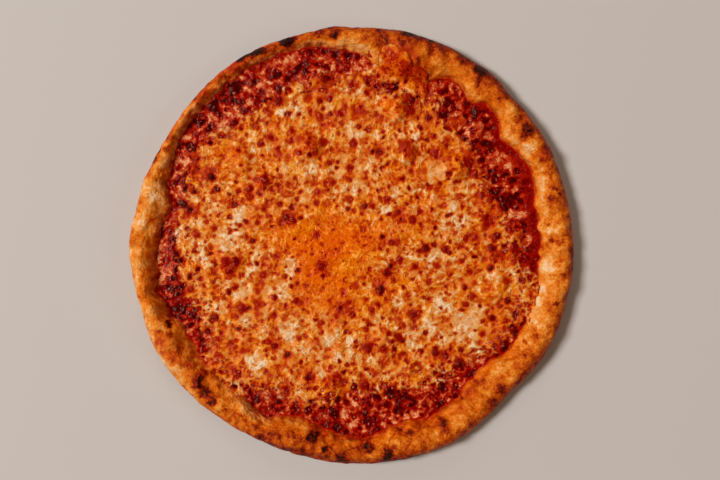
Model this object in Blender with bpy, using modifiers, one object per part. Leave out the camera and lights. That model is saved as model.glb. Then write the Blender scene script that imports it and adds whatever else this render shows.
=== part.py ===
"""A whole baked cheese pizza, about 14 inches across, in three layers: the crust with its uneven raised
rim, the tomato sauce that fills the crust's hollow, and the melted cheese that lies on the sauce.

Metres, +Z up. The origin is the middle of the flat underside. Azimuths are degrees anticlockwise from
+X, seen from above.
"""

import math

import bmesh
import bpy
from mathutils import Vector, noise

MM = 0.001

# Heights above the surface that the pizza lies on
FLOOR_TOP = 4.5 * MM
SAUCE_TOP = 6.5 * MM
RIM_FOOT = 7.0 * MM
WIDEST_AT = 8.0 * MM
LAYER_GAP = 0.3 * MM

# The turned crust before it is made uneven
TURNED_INNER = 154.0 * MM
TURNED_CREST = 168.0 * MM
TURNED_OUTER = 178.0 * MM
TURNED_HEIGHT = 20.0 * MM
BOTTOM_CURL = 7.0 * MM
STEPS_ROUND = 144

# The uneven rim, every 15 degrees from azimuth 0, in millimetres
RIM_OUTER = (
    179.3, 178.7, 178.6, 176.7, 178.6, 178.1, 176.3, 176.1, 176.8, 175.4, 173.9, 177.1,
    180.9, 178.9, 181.0, 178.8, 176.2, 176.1, 178.0, 179.5, 180.0, 175.9, 180.1, 180.0,
)
RIM_INNER = (
    153.0, 154.5, 154.0, 154.5, 152.0, 139.0, 156.0, 165.0, 166.0, 165.0, 164.0, 156.0,
    159.5, 161.5, 154.5, 153.0, 150.0, 147.5, 158.0, 150.5, 153.5, 147.0, 153.8, 153.8,
)
RIM_HEIGHT = (
    20.0, 20.0, 19.0, 18.5, 19.0, 21.0, 18.0, 14.5, 13.5, 14.5, 16.0, 19.0,
    20.0, 20.5, 19.0, 15.5, 18.0, 20.0, 18.0, 20.5, 20.0, 18.5, 21.5, 21.0,
)
CHEESE_EDGE = (
    128.0, 122.0, 114.0, 122.0, 142.0, 134.0, 132.0, 130.0, 128.0, 131.0, 140.0, 133.0,
    149.0, 135.0, 134.0, 148.0, 131.0, 127.0, 113.0, 116.0, 119.0, 122.0, 139.0, 144.0,
)

# Local changes of a radius: azimuth, half width in degrees, millimetres outwards
OUTER_CORNERS = ((95.0, 3.0, 1.8), (50.0, 3.5, 2.0), (355.0, 5.0, 1.0), (171.0, 3.0, -1.2))
INNER_LOBES = (
    (25.0, 4.0, 3.0), (36.0, 4.5, -5.0), (42.0, 3.5, 5.0), (53.0, 4.0, -2.5), (59.0, 3.5, 4.5),
    (170.0, 5.0, -4.0), (208.0, 6.0, -3.0), (243.0, 4.5, 7.0), (310.0, 5.0, -3.0),
)

# Relief of the rim: x, y, radius and height in millimetres; a hollow has a negative height
RIM_RELIEF = (
    (44.0, 142.0, 22.0, 4.5),
    (-145.0, -79.0, 11.0, 3.0),
    (-155.0, -80.0, 6.0, -2.0),
    (-84.0, -130.0, 15.0, 2.0),
    (139.0, 94.0, 9.0, 2.0),
    (158.0, 72.0, 8.0, 1.8),
    (164.0, 32.0, 9.0, 1.5),
    (-122.0, -108.0, 13.0, 2.2),
    (-113.0, 113.5, 6.0, -2.0),
    (73.0, -143.0, 7.0, 1.5),
    (28.0, -167.0, 8.0, 1.6),
    (-9.0, -164.0, 8.0, 1.5),
    (99.0, -130.0, 6.0, -3.0),
    (90.0, -138.0, 8.0, 1.5),
    (108.0, -122.0, 8.0, 1.5),
    (-35.0, -152.0, 10.0, 2.0),
    (-176.0, 2.0, 8.0, 1.5),
)
# Bubbles that lift the cheese
CHEESE_HILLS = (
    (35.0, 112.0, 15.0, 4.5),
    (43.0, 75.0, 13.0, 3.5),
    (-35.0, 79.0, 13.0, 3.5),
    (102.0, 92.0, 10.0, 3.0),
    (84.0, 62.0, 13.0, 4.0),
    (-99.0, -16.0, 12.0, 3.0),
    (118.0, -36.0, 12.0, 3.0),
    (-72.0, 52.0, 8.0, 2.0),
    (-90.0, 68.0, 12.0, 2.5),
    (-20.0, -119.0, 12.0, 3.5),
    (28.0, -78.0, 14.0, 2.5),
    (52.0, 138.0, 9.0, 2.0),
)
SAUCE_HILLS = (
    (-28.0, 138.0, 11.0, 3.5),
    (104.0, 92.0, 10.0, 2.5),
    (10.0, -150.0, 12.0, 1.5),
)

RIM_LUMPS = 1.1 * MM
RIM_LUMP_WIDTH = 16.0 * MM
CHEESE_THICKNESS = 1.9 * MM
CHEESE_EDGE_THICKNESS = 0.7 * MM
CHEESE_EDGE_SLOPE = 7.0 * MM
CHEESE_LUMPS = 0.45 * MM
CHEESE_LUMP_WIDTH = 9.0 * MM
CHEESE_CELLS = 46
CHEESE_TO_RIM = 3.0 * MM
RAGGED_BY = 4.5 * MM
RAGGED_WIDTH = 17.0 * MM
SAUCE_LUMPS = 0.5 * MM
SAUCE_LUMP_WIDTH = 8.0 * MM


def linear_colour(hex_code):
    """The linear RGBA of an sRGB hex code."""
    channels = [int(hex_code[i : i + 2], 16) / 255 for i in (0, 2, 4)]
    linear = [c / 12.92 if c <= 0.04045 else ((c + 0.055) / 1.055) ** 2.4 for c in channels]
    return (*linear, 1.0)


def food_material(name, hex_code, roughness):
    material = bpy.data.materials.new(name)
    material.use_nodes = True
    shader = material.node_tree.nodes["Principled BSDF"]
    shader.inputs["Base Color"].default_value = linear_colour(hex_code)
    shader.inputs["Roughness"].default_value = roughness
    shader.inputs["Metallic"].default_value = 0.0
    material.diffuse_color = linear_colour(hex_code)
    return material


def smoothstep(low, high, value):
    share = min(max((value - low) / (high - low), 0.0), 1.0)
    return share * share * (3.0 - 2.0 * share)


def dome(distance, radius):
    """A smooth bump of height 1 at distance 0, which ends level at the radius."""
    share = min(distance / radius, 1.0)
    return (1.0 - share * share) ** 2


def around(stations, azimuth):
    """The value in millimetres at an azimuth, on a smooth closed curve through evenly spaced stations."""
    place = (azimuth % 360.0) * len(stations) / 360.0
    first = int(place)
    t = place - first
    before, start, end, after = (stations[(first + k) % len(stations)] for k in (-1, 0, 1, 2))
    straight = 2.0 * start + (end - before) * t
    curved = (2.0 * before - 5.0 * start + 4.0 * end - after) * t * t
    cubic = (3.0 * start - before - 3.0 * end + after) * t * t * t
    return (straight + curved + cubic) / 2.0


def local_change(changes, azimuth):
    """The sum in millimetres of the local changes that reach this azimuth."""
    total = 0.0
    for centre, half_width, amount in changes:
        turn = abs((azimuth - centre + 180.0) % 360.0 - 180.0)
        total += amount * dome(turn, 2.0 * half_width)
    return total


def outer_radius(azimuth):
    return (around(RIM_OUTER, azimuth) + local_change(OUTER_CORNERS, azimuth)) * MM


def inner_radius(azimuth):
    return (around(RIM_INNER, azimuth) + local_change(INNER_LOBES, azimuth)) * MM


def crest_radius(azimuth):
    """The crest lies further from the edge where the rim is wide."""
    width = outer_radius(azimuth) - inner_radius(azimuth)
    return outer_radius(azimuth) - min(0.42 * width, TURNED_OUTER - TURNED_CREST)


def cheese_radius(azimuth):
    """The ragged edge of the cheese, which stays inside the rim."""
    turn = math.radians(azimuth)
    on_edge = Vector((math.cos(turn), math.sin(turn), 0.3)) * (130.0 * MM / RAGGED_WIDTH)
    radius = around(CHEESE_EDGE, azimuth) * MM + RAGGED_BY * noise.noise(on_edge)
    return min(radius, inner_radius(azimuth) - CHEESE_TO_RIM)


def relief(features, x, y):
    """The height that the domes and hollows add at this place."""
    total = 0.0
    for centre_x, centre_y, radius, height in features:
        distance = math.hypot(x - centre_x * MM, y - centre_y * MM)
        total += height * MM * dome(distance, radius * MM)
    return total


def lumps(x, y, z, width):
    """Smooth noise of about -1 to 1, with lumps about as wide as given and some of half that."""
    place = Vector((x, y, z)) / width
    return noise.noise(place) + 0.5 * noise.noise(place * 2.1 + Vector((5.0, 2.0, 7.0)))


def polar(point):
    return math.hypot(point.x, point.y), math.degrees(math.atan2(point.y, point.x)) % 360.0


def turned_object(name, profile, collection, material):
    """The closed solid that a profile of (radius, height) points sweeps round Z, as a plain mesh."""
    outline = bpy.data.meshes.new(name + "_profile")
    edges = [(i, i + 1) for i in range(len(profile) - 1)]
    outline.from_pydata([(r, 0.0, z) for r, z in profile], edges, [])
    turned = bpy.data.objects.new(name, outline)
    collection.objects.link(turned)
    screw = turned.modifiers.new("Turn", "SCREW")
    screw.steps = STEPS_ROUND
    screw.render_steps = STEPS_ROUND
    screw.use_merge_vertices = True
    screw.merge_threshold = 0.00005
    bpy.context.view_layer.update()
    evaluated = turned.evaluated_get(bpy.context.evaluated_depsgraph_get())
    turned.data = bpy.data.meshes.new_from_object(evaluated)
    turned.data.name = name
    turned.modifiers.remove(screw)
    bpy.data.meshes.remove(outline)
    finish_mesh(turned, material)
    return turned


def finish_mesh(piece, material):
    piece.data.materials.clear()
    piece.data.materials.append(material)
    piece.data.shade_smooth()
    piece.data.set_sharp_from_angle(angle=math.radians(50.0))


def crust_profile():
    """Up the recess floor and wall, over the rim and back along the flat underside."""
    points = [(r * MM, FLOOR_TOP) for r in (0.0, 60.0, 110.0)]
    points.append((TURNED_INNER, FLOOR_TOP))
    points.append((TURNED_INNER, RIM_FOOT))
    slope_points = 6
    for k in range(1, slope_points + 1):
        share = k / slope_points
        radius = TURNED_INNER + (TURNED_CREST - TURNED_INNER) * share
        height = RIM_FOOT + (TURNED_HEIGHT - RIM_FOOT) * math.sin(share * math.pi / 2.0)
        points.append((radius, height))
    for angle in (72.0, 54.0, 36.0, 18.0, 0.0):
        turn = math.radians(angle)
        radius = TURNED_CREST + (TURNED_OUTER - TURNED_CREST) * math.cos(turn)
        height = WIDEST_AT + (TURNED_HEIGHT - WIDEST_AT) * math.sin(turn)
        points.append((radius, height))
    for angle in (30.0, 60.0, 90.0):
        turn = math.radians(angle)
        radius = TURNED_OUTER - BOTTOM_CURL * (1.0 - math.cos(turn))
        points.append((radius, WIDEST_AT * (1.0 - math.sin(turn))))
    points += [(r * MM, 0.0) for r in (120.0, 60.0, 0.0)]
    return points


def uneven_rim(point):
    """Moves a point of the turned crust to its place on the real, uneven one."""
    radius, azimuth = polar(point)
    turn = math.radians(azimuth)
    inner, crest, outer = inner_radius(azimuth), crest_radius(azimuth), outer_radius(azimuth)
    height = point.z
    if radius <= TURNED_INNER:
        new_radius = radius * inner / TURNED_INNER
    elif radius <= TURNED_CREST:
        share = (radius - TURNED_INNER) / (TURNED_CREST - TURNED_INNER)
        new_radius = inner + (crest - inner) * share
    else:
        share = (radius - TURNED_CREST) / (TURNED_OUTER - TURNED_CREST)
        new_radius = crest + (outer - crest) * share
    x, y = new_radius * math.cos(turn), new_radius * math.sin(turn)
    on_rim = smoothstep(RIM_FOOT, 11.0 * MM, height)
    if height > WIDEST_AT or on_rim > 0.0:
        rise = (around(RIM_HEIGHT, azimuth) * MM - RIM_FOOT) / (TURNED_HEIGHT - RIM_FOOT)
        height = RIM_FOOT + (height - RIM_FOOT) * rise
    height += on_rim * (relief(RIM_RELIEF, x, y) + RIM_LUMPS * lumps(x, y, 0.0, RIM_LUMP_WIDTH))
    return Vector((x, y, height))


def build_crust(collection):
    material = food_material("baked_crust", "D0853F", 0.6)
    crust = turned_object("crust", crust_profile(), collection, material)
    for vertex in crust.data.vertices:
        vertex.co = uneven_rim(vertex.co)
    return crust


def sauce_profile():
    edge = TURNED_INNER - LAYER_GAP
    floor = FLOOR_TOP + LAYER_GAP
    points = [(r * MM, SAUCE_TOP) for r in (0.0, 60.0, 100.0, 118.0, 126.0, 134.0, 142.0, 149.0)]
    points += [(edge, SAUCE_TOP), (edge, floor), (100.0 * MM, floor), (0.0, floor)]
    return points


def build_sauce(collection):
    """The sauce is level under the cheese, and uneven in the ring that shows round it."""
    material = food_material("tomato_sauce", "8E1A0C", 0.3)
    sauce = turned_object("tomato_sauce", sauce_profile(), collection, material)
    for vertex in sauce.data.vertices:
        radius, azimuth = polar(vertex.co)
        turn = math.radians(azimuth)
        new_radius = radius * (inner_radius(azimuth) - LAYER_GAP) / (TURNED_INNER - LAYER_GAP)
        x, y = new_radius * math.cos(turn), new_radius * math.sin(turn)
        height = vertex.co.z
        if height > FLOOR_TOP + 2.0 * LAYER_GAP:
            past_cheese = new_radius - cheese_radius(azimuth)
            before_rim = inner_radius(azimuth) - new_radius
            bare = smoothstep(6.0 * MM, 11.0 * MM, past_cheese) * smoothstep(0.4 * MM, 5.0 * MM, before_rim)
            uneven = SAUCE_LUMPS * lumps(x, y, 1.0, SAUCE_LUMP_WIDTH) + relief(SAUCE_HILLS, x, y)
            height += bare * uneven
        vertex.co = Vector((x, y, height))
    return sauce


def square_to_disc(u, v):
    """Maps a square of side 2 to a disc of radius 1, keeping the cells about even."""
    if u == 0.0 and v == 0.0:
        return 0.0, 0.0
    if abs(u) >= abs(v):
        radius, turn = u, math.pi / 4.0 * v / u
    else:
        radius, turn = v, math.pi / 2.0 - math.pi / 4.0 * u / v
    return radius * math.cos(turn), radius * math.sin(turn)


def cheese_height(x, y):
    radius, azimuth = polar(Vector((x, y, 0.0)))
    inwards = cheese_radius(azimuth) - radius
    share = smoothstep(0.0, CHEESE_EDGE_SLOPE, inwards)
    thickness = CHEESE_EDGE_THICKNESS + (CHEESE_THICKNESS - CHEESE_EDGE_THICKNESS) * share
    uneven = CHEESE_LUMPS * lumps(x, y, 2.0, CHEESE_LUMP_WIDTH) + relief(CHEESE_HILLS, x, y)
    return SAUCE_TOP + LAYER_GAP + thickness + share * uneven


def build_cheese(collection):
    """A round sheet with a level underside, a ragged edge and hills where it bubbled."""
    shape = bmesh.new()
    bmesh.ops.create_grid(shape, x_segments=CHEESE_CELLS, y_segments=CHEESE_CELLS, size=1.0)
    for vertex in shape.verts:
        x, y = square_to_disc(vertex.co.x, vertex.co.y)
        share, azimuth = math.hypot(x, y), math.degrees(math.atan2(y, x)) % 360.0
        turn = math.radians(azimuth)
        radius = share * cheese_radius(azimuth)
        x, y = radius * math.cos(turn), radius * math.sin(turn)
        vertex.co = Vector((x, y, cheese_height(x, y)))
    rim_edges = [edge for edge in shape.edges if edge.is_boundary]
    lowered = bmesh.ops.extrude_edge_only(shape, edges=rim_edges)["geom"]
    for vertex in [part for part in lowered if isinstance(part, bmesh.types.BMVert)]:
        vertex.co.z = SAUCE_TOP + LAYER_GAP
    open_edges = [edge for edge in shape.edges if edge.is_boundary]
    bmesh.ops.contextual_create(shape, geom=open_edges)
    bmesh.ops.triangulate(shape, faces=shape.faces[:], quad_method="BEAUTY", ngon_method="BEAUTY")
    bmesh.ops.recalc_face_normals(shape, faces=shape.faces[:])
    mesh = bpy.data.meshes.new("melted_cheese")
    shape.to_mesh(mesh)
    shape.free()
    cheese = bpy.data.objects.new("melted_cheese", mesh)
    collection.objects.link(cheese)
    finish_mesh(cheese, food_material("melted_cheese", "E0A463", 0.4))
    return cheese


def main():
    for old in list(bpy.data.objects):
        bpy.data.objects.remove(old, do_unlink=True)
    pizza = bpy.data.collections.new("pizza")
    bpy.context.scene.collection.children.link(pizza)
    build_crust(pizza)
    build_sauce(pizza)
    build_cheese(pizza)


main()
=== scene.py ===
"""The looks of a whole baked cheese pizza, about 14 inches across, seen from straight above.

The crust, the tomato sauce and the melted cheese replace the three solids of the frame with finely
modelled closed skins of the same form. Small pieces that lie on them are made by Geometry Nodes.
Metres, +Z up; azimuths are degrees anticlockwise from +X, and feature lists are in millimetres.
"""

import logging
import math
from dataclasses import dataclass, field
from enum import Enum
from typing import Iterable, Sequence

import bpy
import numpy as np
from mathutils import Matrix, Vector


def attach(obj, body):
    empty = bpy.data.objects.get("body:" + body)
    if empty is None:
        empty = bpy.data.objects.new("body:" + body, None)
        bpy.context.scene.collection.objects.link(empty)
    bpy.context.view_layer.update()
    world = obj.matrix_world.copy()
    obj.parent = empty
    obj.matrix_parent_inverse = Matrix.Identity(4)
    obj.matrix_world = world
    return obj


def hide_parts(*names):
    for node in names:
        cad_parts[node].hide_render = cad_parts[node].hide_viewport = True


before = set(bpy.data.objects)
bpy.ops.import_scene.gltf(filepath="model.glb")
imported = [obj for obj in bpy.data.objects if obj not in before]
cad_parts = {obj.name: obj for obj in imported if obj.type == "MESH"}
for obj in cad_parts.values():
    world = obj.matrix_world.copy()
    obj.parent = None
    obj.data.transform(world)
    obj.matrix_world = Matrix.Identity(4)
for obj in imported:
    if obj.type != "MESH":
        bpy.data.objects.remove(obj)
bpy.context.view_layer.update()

log = logging.getLogger("pizza")
MM = 0.001
Array = np.ndarray

# Seeds of the random draws
NOISE_SEED = 11
SPECK_SEED = 5
BLISTER_SEED = 71
SCRAP_SEED = 23


class Slot(Enum):
    """The record's material slots."""

    CRUST = "baked_crust"
    SAUCE = "tomato_sauce"
    CHEESE = "melted_cheese"


# Small maths


def smoothstep(low: float, high: float, value: Array) -> Array:
    """A smooth rise from 0 at low to 1 at high.

    Args:
        low: Where the rise starts.
        high: Where it ends; less than low makes it a fall.
        value: The values to judge.

    Returns:
        The share for each value.
    """
    share = np.clip((value - low) / (high - low), 0.0, 1.0)
    return share * share * (3.0 - 2.0 * share)


def dome(distance: Array, radius: Array) -> Array:
    """A smooth bump of height 1 at distance 0, which ends level at the radius."""
    share = np.minimum(distance / radius, 1.0)
    return (1.0 - share * share) ** 2


def blend(first: Array, second: Array, share: Array) -> Array:
    """The mix of two values, all the second where the share is 1."""
    return first + (second - first) * share


def turn_between(azimuth: Array, centre: float) -> Array:
    """The size of the turn from a centre azimuth, in degrees, up to 180."""
    return np.abs((azimuth - centre + 180.0) % 360.0 - 180.0)


@dataclass(frozen=True)
class Stations:
    """A smooth closed curve of one value round the pizza, through evenly spaced stations.

    Args:
        values: The value at each station, from azimuth 0: millimetres, or a share of 0 to 1.
        changes: Local changes as (azimuth, half width in degrees, amount).
    """

    values: tuple[float, ...]
    changes: tuple[tuple[float, float, float], ...] = ()

    def at(self, azimuth: Array) -> Array:
        """The value at each azimuth in degrees.

        Args:
            azimuth: Azimuths in degrees.

        Returns:
            The values there.
        """
        values = np.array(self.values)
        count = len(values)
        place = (azimuth % 360.0) * count / 360.0
        first = np.floor(place).astype(int)
        t = place - first
        before, start, end, after = (values[(first + k) % count] for k in (-1, 0, 1, 2))
        straight = 2.0 * start + (end - before) * t
        curved = (2.0 * before - 5.0 * start + 4.0 * end - after) * t * t
        cubic = (3.0 * start - before - 3.0 * end + after) * t * t * t
        total = (straight + curved + cubic) / 2.0
        for centre, half_width, amount in self.changes:
            total = total + amount * dome(turn_between(azimuth, centre), 2.0 * half_width)
        return total


class Noise:
    """Smooth gradient noise in the plane or in space, the same each run."""

    CELLS = 256
    REACH = 1.6  # brings the raw sum to about -1 to 1
    LAYER_SHIFT = 17.3
    LAYER_FINER = 2.1

    def __init__(self, seed: int) -> None:
        """Draws the lattice.

        Args:
            seed: The seed of the draw.
        """
        rng = np.random.default_rng(seed)
        self.order = np.concatenate([rng.permutation(self.CELLS)] * 2)
        slopes = rng.normal(size=(self.CELLS, 3))
        self.slopes = slopes / np.linalg.norm(slopes, axis=1, keepdims=True)

    def at(self, width: float, *axes: Array) -> Array:
        """Noise of about -1 to 1.

        Args:
            width: The width of a lump, in the unit of the coordinates.
            axes: Two or three coordinate arrays of one shape.

        Returns:
            The noise at each point.
        """
        scaled = [axis / width for axis in axes]
        cells = [np.floor(axis).astype(int) for axis in scaled]
        offsets = [axis - cell for axis, cell in zip(scaled, cells)]
        eased = [t * t * t * (t * (t * 6.0 - 15.0) + 10.0) for t in offsets]
        total = np.zeros_like(scaled[0])
        for corner in range(2 ** len(axes)):
            steps = [corner >> k & 1 for k in range(len(axes))]
            index = 0
            for cell, step in zip(cells, steps):
                index = self.order[index + ((cell + step) & (self.CELLS - 1))]
            slope = self.slopes[index]
            weight = 1.0
            value = 0.0
            for k, step in enumerate(steps):
                weight = weight * (eased[k] if step else 1.0 - eased[k])
                value = value + slope[..., k] * (offsets[k] - step)
            total += weight * value
        return self.REACH * total

    def layered(self, width: float, *axes: Array, layers: int = 3) -> Array:
        """Noise with finer and weaker layers added.

        Args:
            width: The width of the largest lumps.
            axes: Two or three coordinate arrays of one shape.
            layers: How many layers, each half as wide and half as strong.

        Returns:
            The noise at each point, of about -1 to 1.
        """
        total = 0.0
        for layer in range(layers):
            shift = self.LAYER_SHIFT * layer
            moved = [axis + shift * width for axis in axes]
            total = total + self.at(width / self.LAYER_FINER**layer, *moved) / 2.0**layer
        return total / 1.4


# Features read from the photograph, in millimetres


@dataclass(frozen=True)
class Spot:
    """A round feature of the surface.

    Args:
        x: Its place to the right of the middle.
        y: Its place above the middle, as seen from above.
        radius: Its size.
        amount: Its height or strength.
    """

    x: float
    y: float
    radius: float
    amount: float


def spots(*rows: tuple[float, float, float, float]) -> tuple[Spot, ...]:
    """Spots from rows of x, y, radius and amount."""
    return tuple(Spot(*row) for row in rows)


RIM_OUTER = Stations(
    (
        179.3, 178.7, 178.6, 176.7, 178.6, 178.1, 176.3, 176.1, 176.8, 175.4, 173.9, 177.1,
        180.9, 178.9, 181.0, 178.8, 176.2, 176.1, 178.0, 179.5, 180.0, 175.9, 180.1, 180.0,
    ),
    ((95.0, 3.0, 1.8), (50.0, 3.5, 2.0), (355.0, 5.0, 1.0), (171.0, 3.0, -1.2)),
)
RIM_INNER = Stations(
    (
        153.0, 154.5, 154.0, 154.5, 152.0, 139.0, 156.0, 165.0, 166.0, 165.0, 164.0, 156.0,
        159.5, 161.5, 154.5, 153.0, 150.0, 147.5, 158.0, 150.5, 153.5, 147.0, 153.8, 153.8,
    ),
    (
        (25.0, 4.0, 3.0), (36.0, 4.5, -5.0), (42.0, 3.5, 5.0), (53.0, 4.0, -2.5), (59.0, 3.5, 4.5),
        (170.0, 5.0, -4.0), (208.0, 6.0, -3.0), (243.0, 4.5, 7.0), (310.0, 5.0, -3.0),
    ),
)
RIM_HEIGHT = Stations(
    (
        20.0, 20.0, 19.0, 18.5, 19.0, 21.0, 18.0, 14.5, 13.5, 14.5, 16.0, 19.0,
        20.0, 20.5, 19.0, 15.5, 18.0, 20.0, 18.0, 20.5, 20.0, 18.5, 21.5, 21.0,
    )
)
CHEESE_EDGE = Stations(
    (
        128.0, 122.0, 114.0, 120.0, 130.0, 124.0, 131.0, 130.0, 128.0, 131.0, 140.0, 133.0,
        141.0, 131.0, 133.0, 148.0, 131.0, 127.0, 113.0, 117.0, 121.0, 129.0, 147.0, 148.0,
    )
)
# Where sauce and cheese climb a bubble of the rim
TOPPED_BUBBLE = spots((36, 146, 13, 1.0), (31, 152, 10, 1.0), (50, 133, 11, 1.0), (22, 140, 8, 0.9))

# How browned the rim is along its inner slope, its top and its outer side. The outer side is also paler on
# the left, at 180 to 210 degrees, where the light falls: painted light.
RIM_BAKE_INNER = Stations((0.26, 0.25, 0.27, 0.1, 0.09, 0.08, 0.23, 0.34, 0.25, 0.44, 0.58, 0.42))
RIM_BAKE_TOP = Stations((0.46, 0.54, 0.49, 0.59, 0.52, 0.22, 0.31, 0.41, 0.68, 0.56, 0.52, 0.45))
RIM_BAKE_AND_PAINTED_LIGHT_OUTER = Stations((0.48, 0.49, 0.69, 0.53, 0.53, 0.45, 0.31, 0.22, 0.56, 0.62, 0.52, 0.5))
# How far sauce and oil have crept up the rim's inner slope
SAUCE_CREEP = Stations((1.5, 2.5, 4.0, 3.0, 9.0, 5.0, 6.0, 5.0, 6.0, 5.0, 3.0, 1.5))
OIL_CREEP = Stations((4.0, 8.0, 12.0, 12.0, 10.0, 12.0, 17.0, 15.0, 14.0, 12.0, 11.0, 5.0))
# Domes and hollows of the rim
RIM_RELIEF = spots(
    (44, 142, 22, 4.5), (-145, -79, 11, 3), (-155, -80, 6, -2), (-84, -130, 15, 2), (139, 94, 9, 2),
    (158, 72, 8, 1.8), (164, 32, 9, 1.5), (-122, -108, 13, 2.2), (-113, 113.5, 6, -2),
    (73, -143, 7, 1.5), (28, -167, 8, 1.6), (-9, -164, 8, 1.5), (99, -130, 6, -3), (90, -138, 8, 1.5),
    (108, -122, 8, 1.5), (-35, -152, 10, 2), (-176, 2, 8, 1.5),
)
# Small baked bubbles on the rim, too fine for the frame's solids
RIM_BLISTERS = spots(
    (133, 101, 5, 0.8), (140, 92, 6, 0.9), (157, 72, 5, 0.8), (165, 43, 4, 0.7), (157, 18, 4, 0.7),
    (155, -1, 5, 0.6), (13, -163, 5, 0.8), (73, -143, 5, 0.8), (-31, -153, 5, 0.9), (-49, -153, 4, 0.7),
    (-76, -145, 5, 0.7), (-122, -104, 5, 1.6), (-125, -113, 4.5, 1.5), (-119, -120, 4.5, 1.4),
    (-113, -127, 4, 1.2), (-176, 2, 5, 0.8), (-14, 169, 4.5, 0.8), (40, 146, 9, 2.0), (31, 150, 6, 1.4),
    (46, 139, 6, 1.6), (28, 141, 6, 1.6), (52, 152, 5, 1.2), (37, 157, 5, 1.2), (-140, -84, 6, 1.6),
    (-133, -93, 5, 1.4), (-148, -74, 5, 1.0), (-128, -97, 4, 1.2), (-106, -133, 6, 1.3),
    (-98, -128, 5, 1.2), (-88, -134, 6, 1.4), (-70, -140, 6, 1.2), (-58, -146, 5, 1.0),
    (118, -118, 5, 1.0), (104, -126, 6, 1.2), (-158, 60, 6, 1.2), (-166, 40, 6, 1.0),
    (-167, -30, 6, 0.9), (-160, -52, 6, 0.9), (-26, 170, 4, 0.6), (-51, 164, 6, 0.5),
    (148, -75, 4, 0.6), (113, -127, 4, 0.6), (120, -115, 4, 0.6), (-8, -170, 4, 0.6),
    (-153, 40, 5, 0.8), (-148, 25, 5, 0.7),
)
# Browning of the rim: above 0 darker, below 0 paler. The pale spots along the right inner slope, such as
# (158, -17) and (153, -36), are partly painted light, where that slope faces the light.
RIM_BROWNING_AND_PAINTED_LIGHT = spots(
    (-53, 164, 6, 0.75), (-48, 166, 4, 0.35), (-90, 151, 4.5, 0.75), (-82, 154.5, 5, 0.75),
    (-74, 157, 4.5, 0.7), (-113, 113.5, 5.5, 0.6), (-124, 100, 6, 0.6), (-151, 57, 6, 0.21),
    (-144, 52, 6, 0.6), (-158, 77, 3.5, 0.6), (-162, 70, 3.5, 0.55), (-18, 177, 2.5, 0.24),
    (-14.5, 169, 5, 0.32), (-26, 170, 4.5, 0.24), (45, 171, 4.5, 0.6), (53.5, 148, 2.2, 0.6),
    (102, 139.5, 5.5, 0.6), (101, 127, 1.4, 0.35), (102, 121.5, 1.4, 0.35), (133, 101, 5, 0.24),
    (140, 92, 6, 0.28), (138, 85, 4, 0.21), (145, 78, 7, -0.25), (156, 73, 7, 0.2), (161, 71, 3, 0.21),
    (165, 44, 3.5, 0.24), (160, 36, 5, 0.15), (157, 30, 4, 0.14), (157, 18, 3.5, 0.24),
    (155.5, -2, 5, 0.24), (158, -17, 7, -0.28), (153, -36, 5, -0.3), (152, -45, 5, -0.25),
    (146, -63, 6, -0.2), (154, 52, 6, -0.22), (153, 62, 5, -0.2), (161, 10, 6, -0.2),
    (171, -26, 3, 0.21), (164, -47, 2.5, 0.32), (180, -19, 2, 0.6), (139, -89, 1.6, 0.6),
    (99, -133, 4, 0.21), (94, -132, 3, 0.14), (73, -143, 5, 0.24), (13, -163, 5.5, 0.45),
    (28.5, -167, 5.5, 0.36), (-8, -170, 5, 0.21), (-31, -153, 6.5, 0.5), (-24, -152, 4, 0.28),
    (-49.5, -153, 4.5, 0.24), (-76.5, -145, 4.5, 0.24), (-148, -64, 4, 0.55), (-171, -59, 3, 0.6),
    (-122, -104.5, 6, 0.42), (-125, -113, 5, 0.5), (-119, -120, 5, 0.48), (-113, -127, 4, 0.45),
    (-176.5, 2, 6, 0.15), (-160, 2, 7, 0.17), (-158, -28, 4, 0.35), (113, -127, 4.5, 0.2),
    (120, -115, 4.5, 0.15), (148, -75, 4.5, 0.15), (10, 161, 12, -0.1), (-3, 162, 9, -0.18),
    (118, -97, 9, -0.1), (137, -78, 7, -0.12), (-70, -137, 8, -0.05), (-84, -133, 11, -0.24),
    (-72, -143, 10, -0.17), (-102, -127, 9, -0.18), (104, 126, 10, 0.07), (80, -137, 11, -0.16),
    (98, -127, 8, -0.12), (30, -155, 9, -0.1), (-172, 20, 10, -0.15), (-167, 45, 9, -0.1),
    (-176, -35, 9, -0.08), (-40, -145, 8, -0.1),
)
# Sauce or oil that has stained the dough: strength
RIM_STAINS = spots(
    (-155, -72, 3.5, 1.2), (-156, -80, 3, 1.2), (-152, -87, 3, 1.1), (-145, -91, 3.5, 1.0),
    (-138, -93, 3, 0.8), (-120, -104, 5, 0.9), (-125, -113, 4, 0.8), (-118, -120, 4, 0.8),
    (-112, -127, 3.5, 0.7), (-133, -84, 4, 0.7), (-20, -152, 7, 1.2), (-5, -150, 9, 1.3),
    (-30, -146, 6, 1.0), (-64, -139, 6, 0.6), (-100, 137, 9, 1.4), (-118, 118, 8, 1.2),
    (-90, 145, 9, 1.4), (-127, 100, 8, 1.2), (-140, 84, 7, 1.0), (157, 72, 5, 0.7), (38, 147, 14, 1.6),
    (28, 139, 10, 1.5), (52, 137, 12, 1.5), (-145, -80, 8, 0.25), (-92, 150, 9, 0.35),
    (8, -152, 10, 0.9), (-95, 140, 8, 0.4), (-155, 22, 6, 0.35), (-135, -100, 9, 0.15),
    (-153, -79, 6, 1.1), (-144, -90, 6, 1.0), (-134, -95, 5, 0.9), (-152, 33, 6, 0.6),
    (-78, -132, 7, 0.35), (84, -128, 7, 0.6), (95, -122, 6, 0.6),
)
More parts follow.
